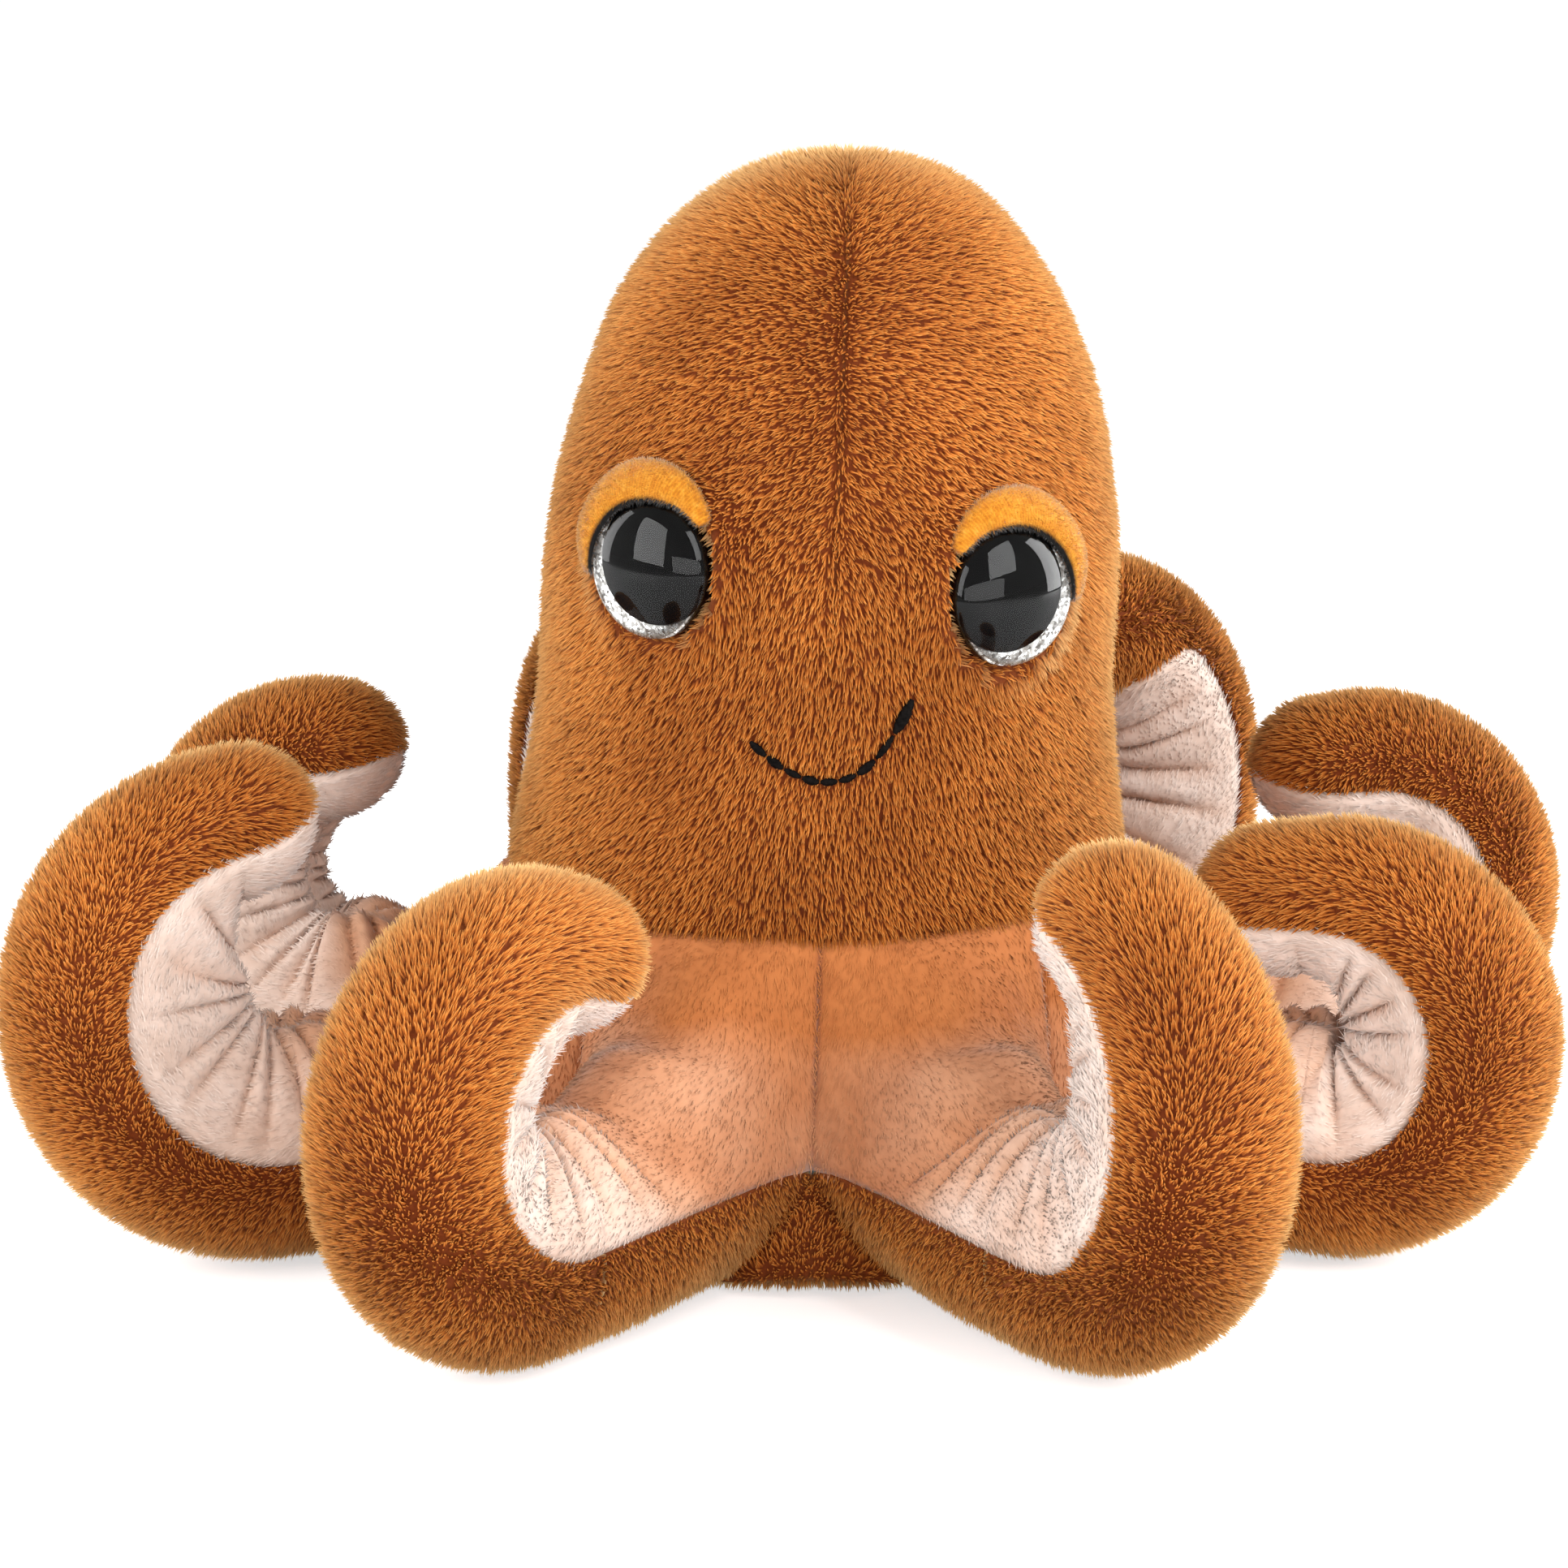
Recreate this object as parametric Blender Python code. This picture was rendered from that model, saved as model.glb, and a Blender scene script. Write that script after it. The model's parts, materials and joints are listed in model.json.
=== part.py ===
# Plush octopus with eight curled arms, standing on its body and arms.
# Metres, +Z up. The origin is on the table under the middle of the body,
# and the face looks along -Y.
# A closed sewn body carries a tall domed head, and each arm is a stuffed tube
# with a ginger back panel, a pale face panel and a gather thread that curls it.

import math

import bpy
import bmesh
from mathutils import Matrix, Vector

# Cloth and running gaps, used by every sewn piece
cloth_thickness = 0.0022        # backing with its pile pressed to half its height
seat_gap = 0.0003               # between two pieces that touch
pad_gap = 0.0004                # between a cover and the stuffing behind it
arm_pad_gap = 0.0006            # the same inside the arms, whose faces are gathered
crease_degrees = 40             # edges sharper than this stay sharp

# Head, a tall dome on a wide neck
head_radius = 0.0432
head_top = 0.1630               # crown above the table
dome_foot = 0.0890              # height where the dome starts to close in
neck_radius = 0.0470
neck_height = 0.0537            # seam between the head and the skirt
head_lean = 0.0056              # the crown stands this far to the right
dome_power = 2.25               # fuller than an ellipse
dome_rings = 8
neck_rings = 3
head_sides = 28
crown_hole = 0.0007             # where the panels' points meet

# Body under the head: peach skirt above, ginger base below
crotch_radius = 0.0525          # body between two arms
crotch_height = 0.0195          # seam between the skirt and the base
shoulder_radius = 0.0600        # the skirt over the root of an arm
shoulder_height = 0.0405
belly_height = 0.0050           # widest place of the base
rest_radius = 0.0450            # flat face that it stands on
body_sides = 32
pellet_radius = 0.0270
pellet_height = 0.0150
recess_edge_share = 0.86        # rounding of the hollow over the pellet bag
# The skirt's rows below the neck: its fall and reach between two arms, then over
# an arm, as shares of the way to the crotch and to the shoulder
skirt_shares = ((0, 0, 0, 0), (0.22, 0.28, 0.40, 0.55), (0.50, 0.62, 1, 1))
# The base's rounded edge: shares of its width and height from the widest place
# to the flat underside, then of the wall's thickness inwards and upwards
base_shares = ((0, 1, 1, 0), (0.18, 0.38, 1, 0.55), (0.55, 0.06, 0.8, 0.92), (1, 0, 0.5, 1))
pellet_shares = ((0.62, 0.97), (0.90, 0.78), (1, 0.5), (0.95, 0.22), (0.82, 0))

# Arms, shared by all eight
arm_ring = 0.0500               # distance of each arm's root from the middle
root_radius = 0.0170
tip_radius = 0.0120
arm_length = 0.1100             # from the root's middle to the tip's middle
floor_gap = 0.0004              # the body takes the weight first
socket_clearance = 0.0005       # round the ball end of each arm
lift_degrees = 12               # how far an arm lifts before its tip nears the head
drop_degrees = 6                # how far it droops when the toy is held up
thread_radius = 0.0005
thin_share = 0.06               # how much flatter an arm gets towards its tip
valley_share = 0.14             # depth of the gathered valley along the face
puff_share = 0.34               # how far the gathered face swells into the curl
puff_start_share = 0.15         # of the length, where the swell begins
puff_ramp_share = 0.14          # of the length, over which it comes
puff_fade_share = 0.25          # of the curl, over which it goes
puff_tip_share = 0.3            # what is left of it at the tip
stuffing_swell_share = 0.85     # the stuffing follows that swell less closely
taper_power = 2.0

# One row for each arm: where it leaves the body, which way it runs and how it
# curls. Degrees from the front, clockwise seen from above. The shares of its
# length before and after the curl run straight.
arms = {
    "front_left": dict(root=-22.5, heading=-38, turn=200, length_share=1.05, hold_share=0.32, tail_share=0.03),
    "front_right": dict(root=22.5, heading=33, turn=163, length_share=0.98, hold_share=0.33, tail_share=0.00),
    "middle_left": dict(root=-67.5, heading=-71, turn=165, length_share=1.04, hold_share=0.33, tail_share=0.03),
    "middle_right": dict(root=67.5, heading=71, turn=185, length_share=0.95, hold_share=0.33, tail_share=0.08),
    "back_left": dict(root=-112.5, heading=-112, turn=175, length_share=0.91, hold_share=0.31, tail_share=0.00),
    "back_right": dict(root=112.5, heading=107, turn=180, length_share=1.03, hold_share=0.37, tail_share=0.04),
    "rear_left": dict(root=-157.5, heading=-161, turn=190, length_share=1.03, hold_share=0.27, tail_share=0.00),
    "rear_right": dict(root=157.5, heading=136, turn=190, length_share=1.15, hold_share=0.26, tail_share=0.00),
}

# Rings of an arm, from the root's ball to the tip
root_cap_degrees = (36, 63, 90)
tube_shares = (0.15, 0.30, 0.41, 0.52, 0.63, 0.74, 0.86, 1.0)
tip_cap_degrees = (62, 34, 8)
face_degrees = (-80, -38, 0, 38, 80)
back_degrees = (81.5, 112, 146, 180, 214, 248, 278.5)
spine_steps = 200
ball_sides = 16                 # facets of the sockets
ball_rings = 6

# Eyes, domed plastic eyes on a post that a washer locks inside the head
eye_radius = 0.0105
eye_height_left = 0.1071
eye_height_right = 0.1033
eye_turn_left_degrees = -37.6
eye_turn_right_degrees = 35.8
eye_tilt_degrees = 3.0
eye_sink = 0.0012               # the pile round the eye stands this much higher
eye_back_thickness = 0.0011
iris_thickness = 0.0004
pupil_thickness = 0.0004
iris_radius = 0.0094
pupil_radius = 0.0083
pupil_shift = 0.0008            # the pupil sits towards the nose side and up
lens_height = 0.0062
lens_bends = 4
lens_rim = 0.0013               # straight wall round the lens
post_radius = 0.0023
post_length = 0.0105
post_tip_share = 0.7            # of the post's radius, past its chamfer
washer_radius = 0.0068
washer_thickness = 0.0012
eye_sides = 18

# Eyelids, puffed crescents over the eyes
lid_hug_share = 0.8             # of the lid's half width, past the eye's edge, to its middle line
lid_width = 0.0034              # half of its width at the middle
lid_rise = 0.0040               # half of its thickness at the middle
lid_nose_share = 0.5            # fullness of its blunt end by the nose
lid_outer_share = 0.28          # fullness of its tail
lid_swell_power = 0.8
lid_stand = 0.0022              # its middle line above the eye's seat
lid_start_degrees = 42                  # degrees round the eye, nose side
lid_stop_degrees = 192                  # degrees round the eye, outer side
lid_rings = 11
lid_sides = 8

# Mouth, one run of thick black thread in ten stitches
mouth_turn_left_degrees = -15.3
mouth_turn_right_degrees = 16.0
mouth_height_left = 0.0830
mouth_height_low = 0.0773
mouth_height_right = 0.0894
mouth_low_share = 0.46          # where along it the mouth is lowest
mouth_left_power = 1.7
mouth_right_power = 2.5
stitch_radius = 0.0010
stitch_waist_share = 0.55
stitches = 10
rings_per_stitch = 4
stitch_sides = 5

# Colours, roughness
ginger = (0.50, 0.20, 0.045, 1)
peach = (0.70, 0.36, 0.22, 1)
pale_pink = (0.80, 0.60, 0.52, 1)
lid_orange = (0.78, 0.36, 0.06, 1)
black = (0.012, 0.011, 0.010, 1)
silver = (0.62, 0.63, 0.66, 1)
clear = (0.90, 0.93, 0.95, 1)
wadding = (0.86, 0.85, 0.82, 1)
nylon = (0.72, 0.72, 0.70, 1)
pellet_white = (0.78, 0.76, 0.70, 1)
thread_cream = (0.78, 0.55, 0.36, 1)


def clear_scene():
    for thing in list(bpy.data.objects):
        bpy.data.objects.remove(thing, do_unlink=True)


def make_material(name, colour, roughness, metallic=0.0):
    material = bpy.data.materials.new(name)
    material.use_nodes = True
    shader = material.node_tree.nodes["Principled BSDF"]
    shader.inputs["Base Color"].default_value = colour
    shader.inputs["Roughness"].default_value = roughness
    shader.inputs["Metallic"].default_value = metallic
    return material


def add_object(name, bm, finish, parent=None):
    """Turn a bmesh into a named object with its own material."""
    mesh = bpy.data.meshes.new(name)
    bm.to_mesh(mesh)
    bm.free()
    thing = bpy.data.objects.new(name, mesh)
    bpy.context.scene.collection.objects.link(thing)
    mesh.materials.append(make_material(name + "_finish", *finish))
    mesh.shade_smooth()
    mesh.set_sharp_from_angle(angle=math.radians(crease_degrees))
    thing.parent = parent
    return thing


def add_empty(name, location, rotation):
    empty = bpy.data.objects.new(name, None)
    empty.location = location
    empty.rotation_euler = rotation
    bpy.context.scene.collection.objects.link(empty)
    return empty


def add_cut(thing, cutter):
    cut = thing.modifiers.new("Cut " + cutter.name, "BOOLEAN")
    cut.operation = "DIFFERENCE"
    cut.solver = "EXACT"
    cut.object = cutter
    return cut


def hide_cutter(thing):
    thing.hide_render = True
    thing.display_type = "WIRE"
    return thing


def split_quads(bm, place, rows):
    """Split every quad between two rows the same way.

    place gives each point its row and its rank in it. A cover and the stuffing
    behind it then keep the same facets, and stay apart everywhere.
    """
    for face in list(bm.faces):
        corners = list(face.verts)
        if len(corners) != 4:
            continue
        levels = {place[point][0] for point in corners}
        first = rows - 1 if levels == {0, rows - 1} else min(levels)
        here = [point for point in corners if place[point][0] == first]
        after = [point for point in corners if place[point][0] != first]
        start = max(here, key=lambda point: place[point][1])
        end = min(after, key=lambda point: place[point][1])
        bmesh.utils.face_split(face, start, end)


def bridge_rows(rows, ranks=None):
    """Loft closed rings of points into a capped solid."""
    bm = bmesh.new()
    chains = []
    place = {}
    for level, row in enumerate(rows):
        points = [bm.verts.new(point) for point in row]
        edges = [bm.edges.new(pair) for pair in zip(points, points[1:] + points[:1])]
        chains.append(edges)
        if ranks:
            place.update({point: (level, rank) for point, rank in zip(points, ranks)})
    for lower, upper in zip(chains, chains[1:]):
        bmesh.ops.bridge_loops(bm, edges=lower + upper)
    if ranks:
        split_quads(bm, place, len(rows))
    bmesh.ops.contextual_create(bm, geom=chains[0])
    bmesh.ops.contextual_create(bm, geom=chains[-1])
    bmesh.ops.recalc_face_normals(bm, faces=bm.faces)
    return bm


def lathe(profile, sides, sweep=360.0):
    """Spin a profile of (radius, height) pairs about Z."""
    bm = bmesh.new()
    points = [bm.verts.new((radius, 0, height)) for radius, height in profile]
    edges = [bm.edges.new(pair) for pair in zip(points, points[1:])]
    whole = sweep == 360.0
    bmesh.ops.spin(
        bm,
        geom=points + edges,
        cent=(0, 0, 0),
        axis=(0, 0, 1),
        angle=math.radians(sweep),
        steps=sides,
        use_merge=whole,
    )
    return bm


def closed_lathe(profile, sides):
    """Spin a profile that starts and ends on the axis into a solid."""
    bm = lathe(profile, sides)
    bmesh.ops.remove_doubles(bm, verts=bm.verts, dist=seat_gap / 100)
    loose = [edge for edge in bm.edges if not edge.link_faces]
    bmesh.ops.delete(bm, geom=loose, context="EDGES")
    bmesh.ops.recalc_face_normals(bm, faces=bm.faces)
    return bm


# Head shape, shared by its covers, its stuffing and everything on its face

def head_width(height, inset=0.0):
    """Half-width of the head at a height, measured to its pile."""
    if height > dome_foot:
        rise = (height - dome_foot) / (head_top - inset - dome_foot)
        rise = min(rise, 1.0)
        dome = (1 - rise ** dome_power) ** (1 / dome_power)
        return (head_radius - inset) * dome
    fall = (dome_foot - height) / (dome_foot - neck_height)
    return head_radius - inset + (neck_radius - head_radius) * fall ** 2


def head_shift(height):
    """Sideways lean of the head and the neck at a height."""
    rise = max(0.0, (height - crotch_height) / (head_top - crotch_height))
    return head_lean * rise


def head_profile(inset, bottom, top_radius):
    """Points from the crown to the neck."""
    points = []
    for step in range(dome_rings):
        swing = math.pi / 2 * (1 - step / dome_rings)
        rise = math.sin(swing) ** (2 / dome_power)
        height = dome_foot + (head_top - inset - dome_foot) * rise
        radius = max(head_width(height, inset), top_radius)
        points.append((radius, height))
    for step in range(neck_rings + 1):
        height = dome_foot + (bottom - dome_foot) * step / neck_rings
        points.append((head_width(height, inset), height))
    return points


def lean_with_head(bm):
    for point in bm.verts:
        point.co.x += head_shift(point.co.z)


def on_head(turn, height, out):
    """A point on the head at a turn from the front, held out from the pile."""
    swing = math.radians(turn)
    reach = head_width(height) + out
    return Vector((reach * math.sin(swing) + head_shift(height), -reach * math.cos(swing), height))


def make_head():
    finish = (ginger, 0.92)
    bottom = neck_height + seat_gap / 2
    covers = {}
    for side, start in (("left", 90), ("right", -90)):
        outer = head_profile(0.0, bottom, crown_hole)
        inner = head_profile(cloth_thickness, bottom, crown_hole)
        bm = lathe(outer + inner[::-1] + outer[:1], head_sides // 2, 180)
        bmesh.ops.remove_doubles(bm, verts=bm.verts, dist=seat_gap / 100)
        bmesh.ops.holes_fill(bm, edges=bm.edges, sides=0)
        bmesh.ops.recalc_face_normals(bm, faces=bm.faces)
        spin_about_z(bm, start)
        lean_with_head(bm)
        push = seat_gap / 2 * (-1 if side == "left" else 1)
        bmesh.ops.translate(bm, verts=bm.verts, vec=(push, 0, 0))
        covers[side] = add_object("head_cover_" + side, bm, finish)

    inset = cloth_thickness + pad_gap
    profile = [(0, head_top - inset)] + head_profile(inset, bottom, 0.0)[1:] + [(0, bottom)]
    bm = closed_lathe(profile, head_sides)
    lean_with_head(bm)
    filling = add_object("head_filling", bm, (wadding, 1.0))
    return covers, filling


def spin_about_z(bm, degrees):
    turn = Matrix.Rotation(math.radians(degrees), 3, "Z")
    bmesh.ops.rotate(bm, verts=bm.verts, cent=(0, 0, 0), matrix=turn)


# Body: skirt, base, stuffing and pellet bag, with a socket for each arm

def arm_root(arm):
    swing = math.radians(arm["root"])
    height = root_radius + floor_gap
    return Vector((arm_ring * math.sin(swing), -arm_ring * math.cos(swing), height))


def make_sockets():
    """A cutter for each arm's root: a ball that flares out as far as the arm swings."""
    reach = (root_radius + socket_clearance) / math.cos(math.pi / ball_sides) ** 2
    flare = math.radians((lift_degrees + drop_degrees) / 2)
    raised = math.radians((lift_degrees - drop_degrees) / 2)
    profile = []
    for step in range(ball_rings + 1):
        swing = (math.pi / 2 + flare) * step / ball_rings
        profile.append((reach * math.sin(swing), -reach * math.cos(swing)))
    wide, high = profile[-1]
    profile += [(wide + (arm_ring / 2 - high) * math.tan(flare), arm_ring / 2), (0, arm_ring / 2)]
    one = closed_lathe(profile, ball_sides)
    socket = bpy.data.meshes.new("socket")
    one.to_mesh(socket)
    one.free()
    bm = bmesh.new()
    for arm in arms.values():
        before = len(bm.verts)
        bm.from_mesh(socket)
        bm.verts.ensure_lookup_table()
        heading = Matrix.Rotation(swing_to_rotation(math.radians(arm["heading"])), 4, "Z")
        place = Matrix.Translation(arm_root(arm)) @ heading @ Matrix.Rotation(math.pi / 2 - raised, 4, "Y")
        bmesh.ops.transform(bm, matrix=place, verts=bm.verts[before:])
    return hide_cutter(add_object("socket_cutter", bm, (wadding, 1.0)))


def inset_profile(points, inset):
    """Move a profile inwards by a wall's thickness, its two ends level."""
    moved = []
    for spot, (radius, height) in enumerate(points):
        before = points[max(spot - 1, 0)]
        after = points[min(spot + 1, len(points) - 1)]
        run = Vector((after[0] - before[0], after[1] - before[1])).normalized()
        inward = Vector((run.y, -run.x)) * inset
        if spot in (0, len(points) - 1):
            inward = Vector((-inset, 0))
        moved.append((radius + inward.x, height + inward.y))
    return moved


def skirt_profile(turn, inset, top, hem):
    """The skirt's profile at a turn: upright between two arms, out over each arm."""
    lobe = (1 - math.cos(len(arms) * turn)) / 2
    points = []
    for fall, out, fall_over, out_over in skirt_shares:
        radius = neck_radius + (crotch_radius - neck_radius) * out
        height = top - (neck_height - crotch_height) * fall
        radius_over = neck_radius + (shoulder_radius - neck_radius) * out_over
        height_over = top - (neck_height - shoulder_height) * fall_over
        points.append((radius + (radius_over - radius) * lobe, height + (height_over - height) * lobe))
    points.append((crotch_radius + (shoulder_radius - crotch_radius) * lobe, hem))
    return inset_profile(points, inset) if inset else points


def wrap_profiles(profile_at, ranks, closed):
    """Loft profiles all the way round Z, one for each side of the body."""
    bm = bmesh.new()
    chains = []
    place = {}
    for step in range(body_sides):
        turn = 2 * math.pi * step / body_sides
        points = []
        for radius, height in profile_at(turn):
            points.append(bm.verts.new((radius * math.sin(turn), -radius * math.cos(turn), height)))
        edges = [bm.edges.new(pair) for pair in zip(points, points[1:])]
        if closed:
            edges.append(bm.edges.new((points[-1], points[0])))
        chains.append(edges)
        place.update({point: (step, rank) for point, rank in zip(points, ranks)})
    for here, after in zip(chains, chains[1:] + chains[:1]):
        bmesh.ops.bridge_loops(bm, edges=here + after)
    split_quads(bm, place, body_sides)
    bmesh.ops.remove_doubles(bm, verts=bm.verts, dist=seat_gap / 100)
    bmesh.ops.recalc_face_normals(bm, faces=bm.faces)
    return bm


def base_outline(inset):
    """The base's outline from its widest place down to its flat underside."""
    points = []
    for edge, rise, inwards, upwards in base_shares:
        radius = crotch_radius - (crotch_radius - rest_radius) * edge - inset * inwards
        points.append((radius, belly_height * rise + inset * upwards))
    return points + [(0, inset)]


def make_body(sockets):
    ginger_cloth = (ginger, 0.92)
    top = neck_height - seat_gap / 2
    hem = crotch_height + seat_gap / 2

    def skirt_wall(turn):
        outer = skirt_profile(turn, 0.0, top, hem)
        return outer + skirt_profile(turn, cloth_thickness, top, hem)[::-1]

    rows = list(range(len(skirt_shares) + 1))
    bm = wrap_profiles(skirt_wall, rows + rows[::-1], True)
    lean_with_head(bm)
    skirt = add_object("skirt", bm, (peach, 0.90))

    seam = crotch_height - seat_gap / 2
    outer = [(crotch_radius, seam)] + base_outline(0.0)
    inner = [(crotch_radius - cloth_thickness, seam)] + base_outline(cloth_thickness)
    bm = closed_lathe(outer + inner[::-1] + outer[:1], body_sides)
    base = add_object("base_cover", bm, ginger_cloth)

    inset = cloth_thickness + pad_gap
    recess_radius = pellet_radius + seat_gap
    recess_top = inset + pellet_height + seat_gap

    def filling_profile(turn):
        points = [(0, top)] + skirt_profile(turn, inset, top, hem)
        points += [(crotch_radius - inset, hem)] + base_outline(inset)[:-1]
        points += [(recess_radius, inset), (recess_radius, recess_top * recess_edge_share)]
        return points + [(recess_radius * recess_edge_share, recess_top), (0, recess_top)]

    bm = wrap_profiles(filling_profile, range(-1, len(filling_profile(0)) - 1), False)
    lean_with_head(bm)
    filling = add_object("body_filling", bm, (wadding, 1.0))
    for piece in (skirt, base, filling):
        add_cut(piece, sockets)

    low = cloth_thickness + seat_gap
    high = low + pellet_height
    middle = (low + high) / 2
    profile = [(0, high)]
    for wide, tall in pellet_shares:
        profile.append((pellet_radius * wide, low + pellet_height * tall))
    profile.append((0, low))
    add_object("pellet_bag", closed_lathe(profile, body_sides // 2), (pellet_white, 0.8))


# Arms

def smooth(share):
    share = min(max(share, 0.0), 1.0)
    return share * share * (3 - 2 * share)


def arm_radius(share):
    return root_radius + (tip_radius - root_radius) * share ** taper_power


def arm_curl(arm, share):
    """How much of an arm's turn it has made at a share of its length."""
    hold = arm["hold_share"]
    bend = 1 - hold - arm["tail_share"]
    return min(max(0.0, (share - hold) / bend), 1.0)


def arm_spine(arm):
    """Frames down the middle of an arm: place, direction, inward side, across."""
    length = arm_length * arm["length_share"]
    turn = math.radians(arm["turn"])
    up = Vector((0, 0, 1))
    out = Vector((1, 0, 0))
    side = out.cross(up)
    reach = 0.0
    climb = 0.0
    frames = []
    for step in range(spine_steps + 1):
        share = step / spine_steps
        swing = turn * arm_curl(arm, share)
        drop = (root_radius - arm_radius(share)) * max(0.0, math.cos(swing))
        place = out * reach + up * (climb - drop)
        ahead = out * math.cos(swing) + up * math.sin(swing)
        inward = up * math.cos(swing) - out * math.sin(swing)
        frames.append((place, ahead, inward, side))
        reach += math.cos(swing) * length / spine_steps
        climb += math.sin(swing) * length / spine_steps
    return frames


def arm_row(frame, degrees, size, push, squash, swell, inset):
    """One row of points round an arm. The face, at 0 degrees, swells and has a valley."""
    place, ahead, inward, side = frame
    row = []
    for angle in degrees:
        swing = math.radians(angle)
        dent = 1 - valley_share if angle == 0 else 1.0
        grow = 1 + swell if abs(angle) < face_degrees[-1] else 1.0
        tall = (size * dent * squash * grow - inset) * math.cos(swing)
        wide = (size - inset) * math.sin(swing)
        row.append(place + ahead * push + inward * tall + side * wide)
    return row


def arm_rings(arm, degrees, inset, swell_share=1.0):
    """Rows of points round an arm, from the root's ball to its tip."""
    frames = arm_spine(arm)
    rows = []
    for angle in root_cap_degrees:
        swing = math.radians(angle)
        size = root_radius - inset
        rows.append(arm_row(frames[0], degrees, size * math.sin(swing), -size * math.cos(swing), 1, 0, 0))
    for share in tube_shares:
        squash = 1 - thin_share * smooth(share)
        curl = arm_curl(arm, share)
        swell = swell_share * puff_share * smooth((share - puff_start_share) / puff_ramp_share)
        swell *= smooth((1 - curl) / puff_fade_share + puff_tip_share)
        rows.append(arm_row(frames[round(share * spine_steps)], degrees, arm_radius(share), 0, squash, swell, inset))
    for angle in tip_cap_degrees:
        swing = math.radians(angle)
        size = tip_radius - inset
        squash = 1 - thin_share
        last = frames[-1]
        rows.append(arm_row(last, degrees, size * math.sin(swing), size * math.cos(swing), squash, 0, 0))
    return rows


def face_ranks(degrees):
    """How far each point round an arm is from the middle of its face."""
    return [180 - abs(180 - angle % 360) for angle in degrees]


def make_arm(name, arm):
    root = arm_root(arm)
    swing = math.radians(arm["heading"])
    hinge = add_empty("hinge_" + name, root, (0, 0, swing_to_rotation(swing)))
    for part, degrees, finish in (
        ("face", face_degrees, (pale_pink, 0.9)),
        ("back", back_degrees, (ginger, 0.92)),
    ):
        outer = arm_rings(arm, degrees, 0.0)
        inner = arm_rings(arm, degrees, cloth_thickness)
        rows = [over + under[::-1] for over, under in zip(outer, inner)]
        ranks = face_ranks(degrees)
        add_object("arm_" + name + "_" + part, bridge_rows(rows, ranks + ranks[::-1]), finish, hinge)

    degrees = face_degrees + back_degrees[1:-1]
    rows = arm_rings(arm, degrees, cloth_thickness + arm_pad_gap, stuffing_swell_share)
    bm = bridge_rows(rows, face_ranks(degrees))
    add_object("arm_" + name + "_filling", bm, (wadding, 1.0), hinge)

    # The gather thread lies in the valley of the face
    rows = arm_rings(arm, (0,), -thread_radius - seat_gap)
    first = len(root_cap_degrees)
    points = [row[0] for row in rows[first:first + len(tube_shares)]]
    curve = bpy.data.curves.new("arm_" + name + "_gather_thread", "CURVE")
    curve.dimensions = "3D"
    curve.bevel_depth = thread_radius
    curve.bevel_resolution = 0
    curve.use_fill_caps = True
    spline = curve.splines.new("POLY")
    spline.points.add(len(points) - 1)
    for spot, point in zip(spline.points, points):
        spot.co = (*point, 1)
    thread = bpy.data.objects.new(curve.name, curve)
    bpy.context.scene.collection.objects.link(thread)
    curve.materials.append(make_material(curve.name + "_finish", thread_cream, 0.8))
    thread.parent = hinge


def swing_to_rotation(swing):
    """Turn about Z that sends local +X to a heading counted from the front."""
    return swing - math.pi / 2


# Eyes and eyelids

def eye_place(side):
    turn = eye_turn_left_degrees if side == "left" else eye_turn_right_degrees
    height = eye_height_left if side == "left" else eye_height_right
    middle = on_head(turn, height, -eye_sink)
    swing = math.radians(turn)
    tilt = math.radians(eye_tilt_degrees)
    ahead = Vector((math.sin(swing) * math.cos(tilt), -math.cos(swing) * math.cos(tilt), math.sin(tilt)))
    up = Vector((0, 0, 1))
    across = up.cross(ahead).normalized()
    up = ahead.cross(across)
    frame = Matrix((across, up, ahead)).transposed().to_4x4()
    return Matrix.Translation(middle) @ frame


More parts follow.
